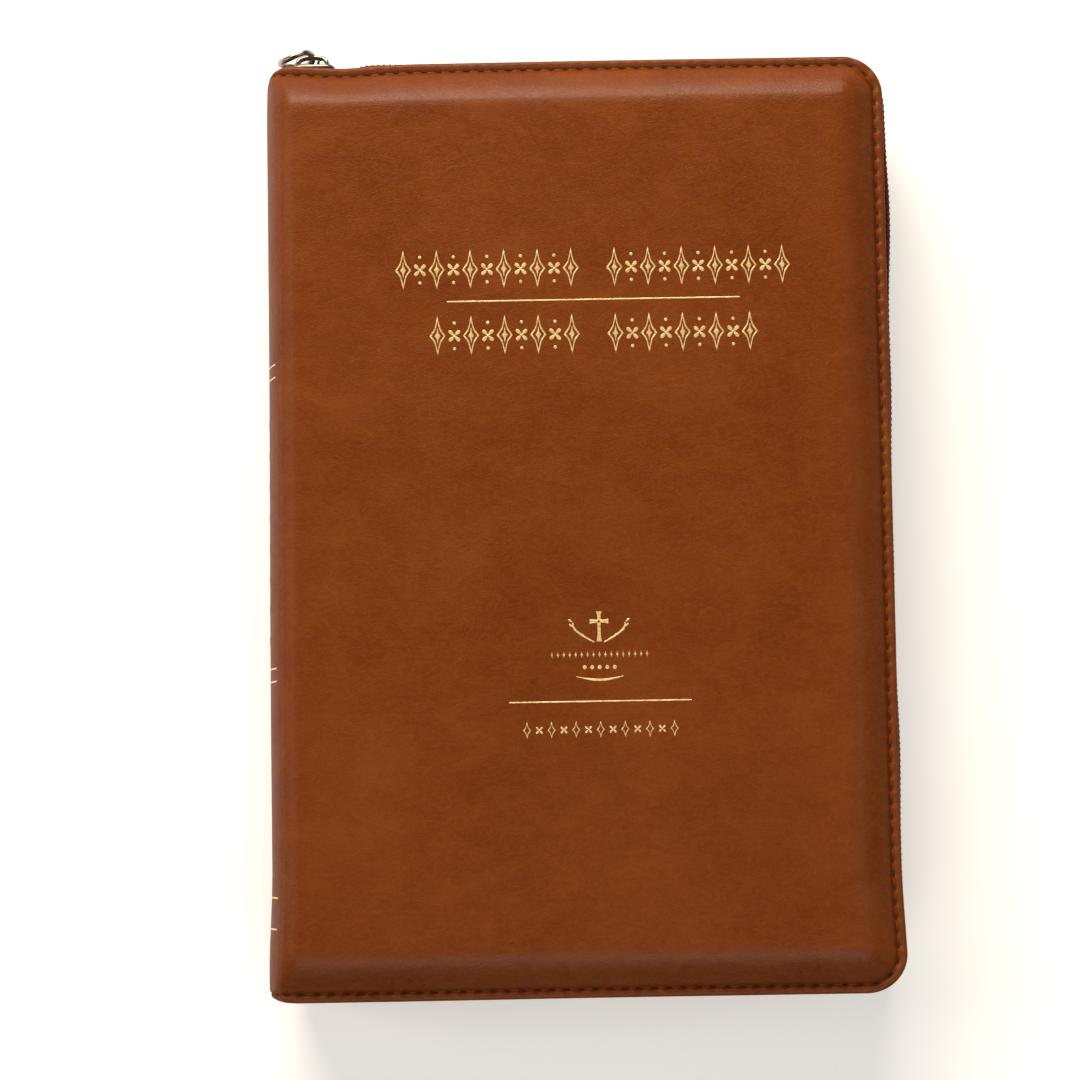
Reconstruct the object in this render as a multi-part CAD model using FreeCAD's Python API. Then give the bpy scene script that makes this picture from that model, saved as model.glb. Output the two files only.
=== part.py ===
"""A zip-closed bible: a thick text block in a soft leather case that a coil zipper shuts on three sides.

It lies on its back cover. +Z is the thickness, from the back cover up to the front cover, +Y runs from the
tail to the head of the pages, and -X is the spine. The origin is the centre of the face it rests on.
Every length is in millimetres. Each sub-part is one STEP file in parts/, named after its node.
"""

import FreeCAD, Part

import math
import os

from FreeCAD import Vector

# Driving dimensions of the closed book.
WIDTH = 160.0  # spine to fore-edge
HEIGHT = 240.0  # tail to head
THICK = 45.0
MID_Z = THICK / 2

# Cover layers, from the outside in.
LEATHER = 1.2
BOARD = 1.5
LINING = 0.5
PASTEDOWN = 0.3

# The padded margin that slopes from the flat panel down to the sewn rim.
CORNER_R = 9.5
PANEL_R = 4.0
RIM_W = 2.4
PANEL_INSET = 10.5
RIM_DROP = 6.0
RIM_TOP = THICK - RIM_DROP
FOLD_W = 1.2  # the leather's turned edge
RIM_DEPTH = 2.3

# The spine, an arc round a centre inside the book.
SPINE_R = 48.3
SPINE_CX = -WIDTH / 2 + SPINE_R
SPINE_HALF = 13.5  # half height of the part of the spine that doesn't flex
SPINE_CARD = 0.8
MULL = 0.4
BLOCK_R = 30.0  # the block's own back is rounder
BLOCK_CX = -76.7 + BLOCK_R
RIDGE_X, RIDGE_Z = -74.6, 43.6  # the crease between the spine and the front cover
COVER_X = -71.8  # where the flat panel of a cover begins
END_INSET = 10.5  # the spine's ends pinch in over this length
END_SCALE = 0.733
END_SHIFT = 2.5

# The line both covers turn about, in plan.
HINGE_X = -72.7

# The text block.
BLOCK_Z0, BLOCK_Z1 = 3.6, 41.3
BLOCK_HALF = 108.5
FORE_EDGE_X = 68.5
FORE_EDGE_HOLLOW = 3.7
LEAF = 0.3
LEAF_GAP = 0.05
SECTION = 1.85
TEXT_SPLIT_A = 15.0
TEXT_SPLIT_B = 27.0
FLY_TOP = BLOCK_Z1
LEAF_STEP = LEAF + LEAF_GAP
LEAVES = ["front_flyleaf", "presentation_leaf", "family_record_leaf", "title_leaf"]
LEAF_TOPS = {name: FLY_TOP - i * LEAF_STEP for i, name in enumerate(LEAVES)}
SECTION_TOP = FLY_TOP - len(LEAVES) * LEAF_STEP
TEXT_TOP = SECTION_TOP - SECTION - LEAF_GAP
TEXT_LOW = BLOCK_Z0 + LEAF_STEP

# The ribbon marker.
RIBBON = 0.4
RIBBON_X0, RIBBON_X1 = -60.0, -50.0
RIBBON_OVER = 3.0  # how far past the block's tail it turns down
RIBBON_DROP = 16.0

# The zipper, a gusset that bulges a little past the covers' rims.
TAPE = 0.6
TAPE_INSET = 0.7  # outer face of the tape along the chain
SEWN_INSET = 1.5  # the same face where it goes under the rim
SEWN_W = 3.0
TAPE_EDGE = 1.5  # the tape stops this far from the middle of the chain
CHAIN_HALF = 4.5  # half height of the part of the gusset that stands upright
COIL_THICK = 2.2
COIL_NEAR, COIL_FAR = 0.1, 3.0  # a coil's two sides, measured from the middle of the chain
ZIP_X = -72.9  # the tapes end here, beside the spine
COIL_X = -70.7

# The slider, which rests at the head next to the spine.
SLIDER_X0 = -74.5
SLIDER_L = 12.5
SLIDER_HALF = 4.2
PLATE = 1.2
LIP = 0.8
BRIDGE_X0, BRIDGE_X1 = SLIDER_X0 + 2.0, SLIDER_X0 + 11.0
BRIDGE_W = 2.2
BRIDGE_RISE = 3.1
BRIDGE_ROOM = 1.95  # clear height under the bridge
RING_X = SLIDER_X0 + 2.3
RING_R = 4.2
RING_WIRE = 1.0
RING_LIFT = 1.15  # the ring's middle above the outer plate
EYE_R = 1.05
EYE_L = 1.8
TAB_L = 15.0
TAB_W = 6.4

# Stitching.
STITCH = 2.4
STITCH_PITCH = 3.6
THREAD = 0.5

# Gold foil, a little towards the fore-edge.
FOIL = 0.08
FOIL_X = 4.5
FOIL_RULE_W = 0.4
ROW_PITCH = 8.55
ROW_GAP = 5.55  # from the middle to the first lozenge on each side
LOZENGE_W, LOZENGE_H = 4.4, 9.6
TITLE_ROWS = [(65.1, 6), (48.1, 5)]  # height, lozenges on each side
TITLE_RULE_Y, TITLE_RULE_L = 56.9, 74.5
EMBLEM_Y, EMBLEM_H, EMBLEM_BAR = -27.4, 8.4, 0.9
LOWER_RULE_Y, LOWER_RULE_L = -45.4, 46.0
SMALL_ROW_Y, SMALL_PITCH, SMALL_W, SMALL_H = -52.5, 6.2, 3.2, 3.8
SPINE_RULES = [42.4, 39.1, -35.4, -38.7, -93.5, -101.4]


def outline(inset, z, x0=COVER_X):
    """The cover's outline at that inset: square at the spine side, rounded at the fore-edge."""
    x1, y1 = WIDTH / 2 - inset, HEIGHT / 2 - inset
    r = max(CORNER_R - inset, PANEL_R)
    k = r * (1 - math.sqrt(0.5))
    edges = [
        Part.LineSegment(Vector(x0, y1, z), Vector(x0, -y1, z)),
        Part.LineSegment(Vector(x0, -y1, z), Vector(x1 - r, -y1, z)),
        Part.Arc(Vector(x1 - r, -y1, z), Vector(x1 - k, -y1 + k, z), Vector(x1, -y1 + r, z)),
        Part.LineSegment(Vector(x1, -y1 + r, z), Vector(x1, y1 - r, z)),
        Part.Arc(Vector(x1, y1 - r, z), Vector(x1 - k, y1 - k, z), Vector(x1 - r, y1, z)),
        Part.LineSegment(Vector(x1 - r, y1, z), Vector(x0, y1, z)),
    ]
    return Part.Wire([e.toShape() for e in edges])


def slab(inset, z0, z1, x0=COVER_X):
    """A plate of the cover's outline between two heights."""
    return Part.Face(outline(inset, z0, x0)).extrude(Vector(0, 0, z1 - z0))


def ring(inset0, inset1, z0, z1, x0=COVER_X):
    """A band between two insets, open at the spine side."""
    inner = slab(inset1, z0 - 1, z1 + 1, x0 - 1)
    return slab(inset0, z0, z1, x0).cut(inner)


def pillow(depth, x0=COVER_X):
    """The space under the front cover's outer surface, lowered by depth: flat panel, sloping margin, rim."""
    low, high = RIM_TOP - depth, THICK - depth
    wires = [outline(RIM_W, low, x0), outline(PANEL_INSET, high, x0)]
    slope = Part.makeLoft(wires, True, True)
    return slope.fuse(slab(RIM_W, low - 4, low, x0)).removeSplitter()


def box(x0, x1, y0, y1, z0, z1):
    return Part.makeBox(x1 - x0, y1 - y0, z1 - z0, Vector(x0, y0, z0))


def to_back(shape):
    """The same piece of the back cover."""
    return shape.mirror(Vector(0, 0, MID_Z), Vector(0, 0, 1))


def to_tail(shape):
    """The same piece at the tail."""
    return shape.mirror(Vector(0, 0, 0), Vector(0, 1, 0))


# ---------------------------------------------------------------- covers


def cover_leather():
    shell = pillow(0).cut(pillow(LEATHER, COVER_X - 1))
    shell = shell.cut(box(-90, 90, -130, 130, 0, RIM_TOP - LEATHER))
    edge = ring(0, FOLD_W, RIM_TOP - RIM_DEPTH, RIM_TOP)
    flat = ring(FOLD_W, RIM_W, RIM_TOP - LEATHER, RIM_TOP)
    return shell.fuse([edge, flat]).removeSplitter()


def cover_board():
    z1 = THICK - LEATHER
    return slab(PANEL_INSET + 0.6, z1 - BOARD, z1, COVER_X + 0.8)


def cover_lining():
    """Follows the leather in the margin and the board in the middle, and is sewn into the rim."""
    x0 = COVER_X + 0.2
    top = pillow(LEATHER, x0)
    room = slab(PANEL_INSET + 0.6, THICK - LEATHER - BOARD, THICK, COVER_X - 1)
    under = pillow(LEATHER + LINING, x0 - 1).cut(
        slab(PANEL_INSET + 0.6 - LINING, THICK - LEATHER - BOARD - LINING, THICK, COVER_X - 2)
    )
    shell = top.cut(under).cut(room)
    shell = shell.cut(box(-90, 90, -130, 130, 0, RIM_TOP - LEATHER - LINING))
    rim = ring(FOLD_W, RIM_W, RIM_TOP - LEATHER - LINING, RIM_TOP - LEATHER, x0)
    return shell.fuse(rim).removeSplitter()


def cover_pastedown():
    z1 = THICK - LEATHER - BOARD - LINING
    return slab(PANEL_INSET + 1.6, z1 - PASTEDOWN, z1, COVER_X + 0.4)


def stitch_row():
    """Separate stitches on the rim, along the tail, the fore-edge and the head."""
    inset = RIM_W - 0.5
    x1, y1, r = WIDTH / 2 - inset, HEIGHT / 2 - inset, CORNER_R - inset
    straight = x1 - r - (COVER_X + 1)
    arc = r * math.pi / 2
    side = 2 * (y1 - r)
    total = 2 * straight + 2 * arc + side
    count = int(total / STITCH_PITCH)
    return Part.makeCompound(
        [stitch(x1, y1, r, straight, arc, side, (i + 0.5) * total / count) for i in range(count)]
    )


def stitch(x1, y1, r, straight, arc, side, s):
    """One stitch, s along the row from its start at the tail."""
    if s < straight:
        x, y, turn = COVER_X + 1 + s, -y1, 0
    elif s < straight + arc:
        a = (s - straight) / r
        x, y, turn = x1 - r + r * math.sin(a), -y1 + r - r * math.cos(a), a
    elif s < straight + arc + side:
        x, y, turn = x1, -y1 + r + (s - straight - arc), math.pi / 2
    elif s < straight + 2 * arc + side:
        a = (s - straight - arc - side) / r
        x, y, turn = x1 - r + r * math.cos(a), y1 - r + r * math.sin(a), math.pi / 2 + a
    else:
        x, y, turn = x1 - r - (s - straight - 2 * arc - side), y1, math.pi
    bar = Part.makeBox(STITCH, THREAD, 0.35, Vector(-STITCH / 2, -THREAD / 2, 0))
    bar.rotate(Vector(0, 0, 0), Vector(0, 0, 1), math.degrees(turn))
    bar.translate(Vector(x, y, RIM_TOP))
    return bar


def front_leaf(z0, z1):
    """A leaf, or a few together, that turns with the front cover."""
    return box(HINGE_X + 0.1, FORE_EDGE_X - 0.2, -BLOCK_HALF, BLOCK_HALF, z0, z1)


# ---------------------------------------------------------------- spine


def spine_point(radius, dz, scale, shift, y, cx=SPINE_CX):
    x = cx - math.sqrt(radius**2 - dz**2) + shift
    return Vector(x, y, MID_Z + dz * scale)


def spine_section(r_out, r_in, half, y, scale=1.0, shift=0.0, cx=SPINE_CX):
    def arc(radius, a, b):
        ends = [spine_point(radius, k, scale, shift, y, cx) for k in (a, (a + b) / 2, b)]
        return Part.Arc(*ends).toShape()

    outer, inner = arc(r_out, -half, half), arc(r_in, half, -half)
    joins = [
        Part.LineSegment(outer.Vertexes[1].Point, inner.Vertexes[0].Point).toShape(),
        Part.LineSegment(inner.Vertexes[1].Point, outer.Vertexes[0].Point).toShape(),
    ]
    return Part.Wire([outer, joins[0], inner, joins[1]])


def end_sections(section):
    """A section along the book: pinched at tail and head, full between."""
    full = HEIGHT / 2 - END_INSET
    near = HEIGHT / 2 - RIM_W
    stations = [
        (-HEIGHT / 2, END_SCALE, END_SHIFT),
        (-near, END_SCALE + 0.04, END_SHIFT - 1),
        (-full, 1.0, 0.0),
        (full, 1.0, 0.0),
        (near, END_SCALE + 0.04, END_SHIFT - 1),
        (HEIGHT / 2, END_SCALE, END_SHIFT),
    ]
    return Part.makeLoft([section(y, s, d) for y, s, d in stations], True, True)


def spine_leather():
    return end_sections(
        lambda y, s, d: spine_section(SPINE_R, SPINE_R - LEATHER, SPINE_HALF, y, s, d)
    )


def spine_card():
    half = HEIGHT / 2 - END_INSET
    r = SPINE_R - LEATHER
    wire = spine_section(r, r - SPINE_CARD, SPINE_HALF - 0.6, -half)
    return Part.Face(wire).extrude(Vector(0, 2 * half, 0))


def spine_mull():
    """The cloth glued over the back of the sewn sections."""
    wire = spine_section(BLOCK_R + MULL, BLOCK_R, SPINE_HALF + 1, -BLOCK_HALF + 6, cx=BLOCK_CX)
    return Part.Face(wire).extrude(Vector(0, 2 * BLOCK_HALF - 12, 0))


def hinge_section(y, scale, shift):
    """The flexing strip of leather from the spine, over the ridge, to the front cover's panel."""

    def place(x, z):
        return Vector(x + shift * (COVER_X - x) / (COVER_X + WIDTH / 2), y, MID_Z + (z - MID_Z) * scale)

    def on_arc(radius, z):
        return SPINE_CX - math.sqrt(radius**2 - (z - MID_Z) ** 2), z

    low = MID_Z + SPINE_HALF + 0.05
    end_z = THICK
    outer = [on_arc(SPINE_R, low), on_arc(SPINE_R, 40.4), (RIDGE_X, RIDGE_Z), (COVER_X - 0.1, end_z)]
    r = SPINE_R - LEATHER
    inner = [(COVER_X - 0.1, end_z - LEATHER), (-73.9, 42.4), on_arc(r, 39.6), on_arc(r, low)]
    points = [place(*p) for p in outer + inner]
    return Part.makePolygon(points + points[:1])


def front_hinge_leather():
    return end_sections(hinge_section)


def spine_stitching():
    """Stitches across each end of the spine, laid on its outer face."""
    y = HEIGHT / 2 - RIM_W / 2
    scale = END_SCALE + 0.03
    bars = []
    for i in range(-2, 3):
        dz = i * STITCH_PITCH
        near = max(abs(dz) - STITCH / 2, 0)
        x = spine_point(SPINE_R, near / scale, scale, END_SHIFT - 0.7, y).x
        low, high = MID_Z + dz - STITCH / 2, MID_Z + dz + STITCH / 2
        bars.append(box(x - 0.35, x, y - THREAD / 2, y + THREAD / 2, low, high))
    return Part.makeCompound(bars + [to_tail(bar) for bar in bars])


# ---------------------------------------------------------------- text block


def block():
    """The whole text block: a rounded back and a hollow fore-edge."""
    y = -BLOCK_HALF

    def at(x, z):
        return Vector(x, y, z)

    def back_x(z):
        return BLOCK_CX - math.sqrt(BLOCK_R**2 - (z - MID_Z) ** 2)

    low_back, high_back = at(back_x(BLOCK_Z0), BLOCK_Z0), at(back_x(BLOCK_Z1), BLOCK_Z1)
    back = Part.Arc(high_back, at(BLOCK_CX - BLOCK_R, MID_Z), low_back)
    low = Part.LineSegment(low_back, at(FORE_EDGE_X, BLOCK_Z0))
    hollow = Part.Arc(
        at(FORE_EDGE_X, BLOCK_Z0), at(FORE_EDGE_X - FORE_EDGE_HOLLOW, MID_Z), at(FORE_EDGE_X, BLOCK_Z1)
    )
    top = Part.LineSegment(at(FORE_EDGE_X, BLOCK_Z1), high_back)
    wire = Part.Wire([e.toShape() for e in (back, low, hollow, top)])
    return Part.Face(wire).extrude(Vector(0, 2 * BLOCK_HALF, 0))


def block_slice(z0, z1):
    return block().common(box(-90, 90, -130, 130, z0, z1))


def end_band(y0):
    """The woven band at one end of the block's back."""
    wire = spine_section(BLOCK_R + 0.9, BLOCK_R - 0.9, SPINE_HALF + 0.5, y0, cx=BLOCK_CX)
    return Part.Face(wire).extrude(Vector(0, 1.6, 0))


def ribbon():
    """A marker glued at the head of the back, laid between two parts of the block and turned down."""
    z0, y0 = TEXT_SPLIT_B, -BLOCK_HALF - RIBBON_OVER
    strip = box(RIBBON_X0, RIBBON_X1, y0, BLOCK_HALF - 1, z0, z0 + RIBBON)
    drop = box(RIBBON_X0, RIBBON_X1, y0, y0 + RIBBON, z0 - RIBBON_DROP, z0 + RIBBON)
    return strip.fuse(drop).removeSplitter()


# ---------------------------------------------------------------- zipper


def gusset(inset, z_low, z_high, x0):
    """The space inside one half of the gusset, upright at the chain and leaning in to the rim."""
    z_turn = MID_Z + CHAIN_HALF
    lean = [outline(TAPE_INSET + inset, z_turn, x0), outline(SEWN_INSET + inset, z_high, x0)]
    upright = slab(TAPE_INSET + inset, z_low, z_turn, x0)
    return upright.fuse(Part.makeLoft(lean, True, True)).removeSplitter()


def zip_tape():
    """The front half's tape: a strip sewn under the rim that turns down into a wall towards the chain."""
    z_low = MID_Z + TAPE_EDGE
    z_sewn = RIM_TOP - LEATHER - LINING
    wall = gusset(0, z_low, z_sewn, ZIP_X).cut(gusset(TAPE, z_low, z_sewn, ZIP_X - 1))
    sewn = ring(SEWN_INSET, SEWN_INSET + SEWN_W, z_sewn - TAPE, z_sewn, COVER_X + 0.2)
    return wall.fuse(sewn).removeSplitter()


def zip_coil():
    """The front half's coil, with the clip that ends it at the head."""
    z0, z1 = MID_Z + COIL_NEAR, MID_Z + COIL_FAR
    coil = ring(TAPE_INSET - COIL_THICK, TAPE_INSET, z0, z1, COIL_X)
    y = HEIGHT / 2 - TAPE_INSET
    clip = box(COIL_X - 1.2, COIL_X + 0.1, y, y + COIL_THICK - 0.4, z0 + 1.4, z1)
    return coil.fuse(clip).removeSplitter()


def slider_body():
    """Two plates round the chain and the divider between them, lips over the coils, and the ring's bridge."""
    x0, x1 = SLIDER_X0, SLIDER_X0 + SLIDER_L
    z0, z1 = MID_Z - SLIDER_HALF, MID_Z + SLIDER_HALF
    tape_y = HEIGHT / 2 - TAPE_INSET - TAPE  # the tape's inner face
    coil_y = HEIGHT / 2 - TAPE_INSET + COIL_THICK  # the coil's outer face
    inner = plate(x0, x1, tape_y - 0.6 - PLATE, tape_y - 0.6)
    outer = plate(x0, x1, coil_y + 0.3, coil_y + 0.3 + PLATE)
    lips = [
        box(x0 + 2.2, x1 - 1.0, tape_y + TAPE + 0.5, coil_y + 0.35, z0, z0 + LIP),
        box(x0 + 2.2, x1 - 1.0, tape_y + TAPE + 0.5, coil_y + 0.35, z1 - LIP, z1),
    ]
    divider = box(x0 + 0.8, x0 + 3.4, tape_y - 0.65, coil_y + 0.35, MID_Z - 1.2, MID_Z + 1.2)
    top = coil_y + 0.3 + PLATE
    return inner.fuse([outer, divider, bridge(top)] + lips).removeSplitter()


def plate(x0, x1, y0, y1):
    """A slider plate: wide at the mouth, narrowing to the tail end, with rounded corners."""
    z0, z1 = MID_Z - SLIDER_HALF, MID_Z + SLIDER_HALF
    body = box(x0, x1, y0, y1, z0, z1)
    upright = [e for e in body.Edges if abs(e.Vertexes[0].Y - e.Vertexes[1].Y) > 0.5]
    return body.makeFillet(1.8, upright)


def bridge(top):
    """The arch on the outer plate; the pull ring passes under it."""
    x0, x1 = BRIDGE_X0, BRIDGE_X1
    z0, z1 = MID_Z - BRIDGE_W / 2, MID_Z + BRIDGE_W / 2
    outer = box(x0, x1, top - 0.1, top + BRIDGE_RISE, z0, z1)
    corners = [
        e
        for e in outer.Edges
        if abs(e.Vertexes[0].Z - e.Vertexes[1].Z) > 1 and e.Vertexes[0].Y > top + 1
    ]
    outer = outer.makeFillet(1.9, corners)
    return outer.cut(box(x0 + 1.5, x1 - 1.5, top, top + BRIDGE_ROOM, z0 - 1, z1 + 1))


def ring_place():
    """The middle of the pull ring: it lies round the bridge's leg nearer the spine."""
    top = HEIGHT / 2 - TAPE_INSET + COIL_THICK + 0.3 + PLATE
    return Vector(RING_X, top + RING_LIFT, MID_Z)


def pull_ring():
    return Part.makeTorus(RING_R, RING_WIRE / 2, ring_place(), Vector(0, 1, 0))


def pull_tab():
    """A metal tab with a rolled eye, hanging from the ring."""
    at = ring_place() - Vector(0, 0, RING_R)
    eye = Part.makeCylinder(EYE_R, EYE_L, at - Vector(EYE_L / 2, 0, 0), Vector(1, 0, 0))
    hole = Part.makeCylinder(EYE_R - 0.4, EYE_L + 2, at - Vector(EYE_L / 2 + 1, 0, 0), Vector(1, 0, 0))
    neck_z, foot_z = at.z - 0.75, at.z - TAB_L
    r = TAB_W / 2
    y = at.y - 0.5
    left, right = Vector(at.x - 1.3, y, neck_z), Vector(at.x + 1.3, y, neck_z)
    wide_l, wide_r = Vector(at.x - r, y, foot_z + r), Vector(at.x + r, y, foot_z + r)
    foot = Part.Arc(wide_r, Vector(at.x, y, foot_z), wide_l)
    neck, right_side = Part.LineSegment(left, right), Part.LineSegment(right, wide_r)
    edges = [neck, right_side, foot, Part.LineSegment(wide_l, left)]
    blade = Part.Face(Part.Wire([e.toShape() for e in edges])).extrude(Vector(0, 1.0, 0))
    return eye.fuse(blade).cut(hole).removeSplitter()


def bottom_stop():
    """The clip that joins the two chains at the tail, beside the spine."""
    y = HEIGHT / 2 - TAPE_INSET
    return box(COIL_X - 2.6, COIL_X - 0.2, -y - 1.8, -y, MID_Z - TAPE_EDGE - 1.2, MID_Z + TAPE_EDGE - 0.1)


def end_tab():
    """A tab of leather inside the spine's end that covers the ends of the tapes."""
    return box(-75.9, -74.7, HEIGHT / 2 - 8.5, HEIGHT / 2 - 2.8, MID_Z - 9, MID_Z + 9)


# ---------------------------------------------------------------- foil


def lozenge(x, y, width, height):
    middle = Vector(x, y, THICK)
    side, tip = Vector(width / 2, 0, 0), Vector(0, height / 2, 0)
    points = [middle - side, middle - tip, middle + side, middle + tip]
    return Part.Face(Part.makePolygon(points + points[:1])).extrude(Vector(0, 0, FOIL))


def patch(x, y, width, height):
    return box(x - width / 2, x + width / 2, y - height / 2, y + height / 2, THICK, THICK + FOIL)


def cross(x, y, height, bar):
    """A plain cross, its arms a third of the way down."""
    return patch(x, y, bar, height).fuse(patch(x, y + height / 6, height * 0.62, bar)).removeSplitter()


def title_foil():
    """Stamped ornament on the front cover: two rows of lozenges either side of a thin rule."""
    pieces = [patch(FOIL_X, TITLE_RULE_Y, TITLE_RULE_L, FOIL_RULE_W)]
    for y, count in TITLE_ROWS:
        for i in range(count):
            away = ROW_GAP + i * ROW_PITCH
            pieces.append(lozenge(FOIL_X + away, y, LOZENGE_W, LOZENGE_H))
            pieces.append(lozenge(FOIL_X - away, y, LOZENGE_W, LOZENGE_H))
    return Part.makeCompound(pieces)


def lower_foil():
    """A small cross above a rule, and a short row of lozenges under it."""
    rule = patch(FOIL_X, LOWER_RULE_Y, LOWER_RULE_L, FOIL_RULE_W)
    pieces = [rule, cross(FOIL_X, EMBLEM_Y, EMBLEM_H, EMBLEM_BAR)]
    for i in range(-3, 4):
        pieces.append(lozenge(FOIL_X + i * SMALL_PITCH, SMALL_ROW_Y, SMALL_W, SMALL_H))
    return Part.makeCompound(pieces)


def spine_foil():
    """Thin rules across the spine."""
    bands = []
    for y in SPINE_RULES:
        wire = spine_section(SPINE_R + FOIL, SPINE_R, SPINE_HALF - 1.5, y - FOIL_RULE_W / 2)
        bands.append(Part.Face(wire).extrude(Vector(0, FOIL_RULE_W, 0)))
    return Part.makeCompound(bands)


# ---------------------------------------------------------------- the whole book


def build():
    leather, board, lining, pastedown = cover_leather(), cover_board(), cover_lining(), cover_pastedown()
    tape, coil, stitches = zip_tape(), zip_coil(), stitch_row()
    hinge = front_hinge_leather()
    parts = {
        "front_cover_leather": leather,
        "front_cover_board": board,
        "front_cover_lining": lining,
        "front_pastedown": pastedown,
        "front_cover_stitching": stitches,
        "front_zip_tape": tape,
        "front_zip_coil": coil,
        "title_foil": title_foil(),
        "lower_foil": lower_foil(),
        "back_cover_leather": to_back(leather),
        "back_cover_board": to_back(board),
        "back_cover_lining": to_back(lining),
        "back_pastedown": to_back(pastedown),
        "back_cover_stitching": to_back(stitches),
        "back_zip_tape": to_back(tape),
        "back_zip_coil": to_back(coil),
        "zip_bottom_stop": bottom_stop(),
        "spine_leather": spine_leather(),
        "spine_card": spine_card(),
        "spine_mull": spine_mull(),
        "spine_stitching": spine_stitching(),
        "spine_foil": spine_foil(),
        "front_hinge_leather": hinge,
        "back_hinge_leather": to_back(hinge),
        "head_zip_end_tab": end_tab(),
        "tail_zip_end_tab": to_tail(end_tab()),
        "text_block_back": block_slice(TEXT_LOW, TEXT_SPLIT_A),
        "text_block_middle": block_slice(TEXT_SPLIT_A, TEXT_SPLIT_B),
        "text_block_front": block_slice(TEXT_SPLIT_B + RIBBON, TEXT_TOP),
        "head_band": end_band(BLOCK_HALF),
        "tail_band": to_tail(end_band(BLOCK_HALF)),
        "ribbon_marker": ribbon(),
        "opening_section": front_leaf(SECTION_TOP - SECTION, SECTION_TOP),
        "back_flyleaf": to_back(front_leaf(FLY_TOP - LEAF + 0.1, FLY_TOP + 0.1)),
        "slider_body": slider_body(),
        "pull_ring": pull_ring(),
        "pull_tab": pull_tab(),
    }
    for name, top in LEAF_TOPS.items():
        parts[name] = front_leaf(top - LEAF, top)
    return parts


def main():
    os.makedirs("parts", exist_ok=True)
    for name, shape in build().items():
        if not shape.isValid():
            print("not valid:", name)
        shape.exportStep(f"parts/{name}.step")
        print(f"{name}: {len(shape.Solids)} solid(s), {shape.Volume / 1000:.3f} cm3")


main()
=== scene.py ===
"""Looks of the zip-closed bible: padded leather case, stitching, coil zipper, gold foil, pages.

Lengths are in metres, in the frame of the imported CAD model: +Z from the back cover to the front cover,
+Y from the tail to the head, -X towards the spine. The leather is one flat sheet, (a, b), wrapped round the
book: a runs across it from the front fore-edge over the spine to the back fore-edge, and b runs along Y.
"""

import math

import bpy
import numpy as np
from mathutils import Matrix, Vector


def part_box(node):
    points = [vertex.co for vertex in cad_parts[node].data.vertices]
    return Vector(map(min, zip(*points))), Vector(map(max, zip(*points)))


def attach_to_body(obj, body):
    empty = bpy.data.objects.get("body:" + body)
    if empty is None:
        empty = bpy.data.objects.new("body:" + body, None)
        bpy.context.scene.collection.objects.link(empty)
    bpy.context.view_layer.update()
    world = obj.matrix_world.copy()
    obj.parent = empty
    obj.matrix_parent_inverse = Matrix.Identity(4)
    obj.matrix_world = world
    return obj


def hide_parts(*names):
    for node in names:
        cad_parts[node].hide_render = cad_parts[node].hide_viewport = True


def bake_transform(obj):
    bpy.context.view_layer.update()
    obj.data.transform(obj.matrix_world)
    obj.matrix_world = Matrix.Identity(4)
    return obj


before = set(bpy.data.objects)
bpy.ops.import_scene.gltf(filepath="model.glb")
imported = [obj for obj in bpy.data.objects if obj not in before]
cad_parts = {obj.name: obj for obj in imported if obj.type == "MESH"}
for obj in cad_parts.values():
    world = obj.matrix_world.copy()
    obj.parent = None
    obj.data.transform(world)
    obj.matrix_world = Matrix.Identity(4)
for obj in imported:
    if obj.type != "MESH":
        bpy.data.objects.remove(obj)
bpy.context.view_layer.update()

MM = 0.001
TAU = 2 * math.pi

# ---------------------------------------------------------------- sizes, from the CAD frame

cover_low, cover_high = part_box("front_cover_leather")
spine_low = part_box("spine_leather")[0]
coil_low, coil_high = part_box("front_zip_coil")
tape_low, tape_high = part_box("front_zip_tape")
slider_low, slider_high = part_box("slider_body")
ring_low, ring_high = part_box("pull_ring")
leaf_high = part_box("front_flyleaf")[1]

FORE_X = cover_high.x
SPINE_X = spine_low.x
HALF_Y = cover_high.y
TOP_Z = cover_high.z
MID_Z = TOP_Z / 2
COVER_X = cover_low.x  # where a cover's flat panel begins
RIM_DROP = 6.0 * MM
RIM_W = 2.4 * MM
MARGIN = 13.4 * MM  # from the outline to the flat panel
CORNER_R = 10.3 * MM
STITCH_PITCH = 3.6 * MM

# ---------------------------------------------------------------- small mesh tools


def mesh_object(name, points, faces, material, smooth=True):
    mesh = bpy.data.meshes.new(name)
    mesh.from_pydata([tuple(p) for p in points], [], [tuple(f) for f in faces])
    mesh.validate()
    mesh.update()
    obj = bpy.data.objects.new(name, mesh)
    bpy.context.scene.collection.objects.link(obj)
    mesh.materials.append(material)
    if smooth:
        mesh.polygons.foreach_set("use_smooth", [True] * len(mesh.polygons))
    return obj


def grid_faces(rows, cols, wrap_rows=False, wrap_cols=False):
    faces = []
    for i in range(rows if wrap_rows else rows - 1):
        for j in range(cols if wrap_cols else cols - 1):
            here, there = i * cols, (i + 1) % rows * cols
            j2 = (j + 1) % cols
            faces.append([here + j, here + j2, there + j2, there + j])
    return faces


def grid_object(name, grid, material, flip=False):
    """A sleeve through a grid of points, shaped (rows, columns, 3)."""
    faces = grid_faces(*grid.shape[:2], wrap_cols=True)
    if flip:
        faces = [f[::-1] for f in faces]
    return mesh_object(name, grid.reshape(-1, 3), faces, material)


def joined(name, parts, material):
    """One mesh from many small (points, faces) pieces."""
    points, faces, start = [], [], 0
    for part_points, part_faces in parts:
        points.extend(part_points)
        faces.extend([[start + k for k in f] for f in part_faces])
        start += len(part_points)
    return mesh_object(name, points, faces, material)


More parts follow.
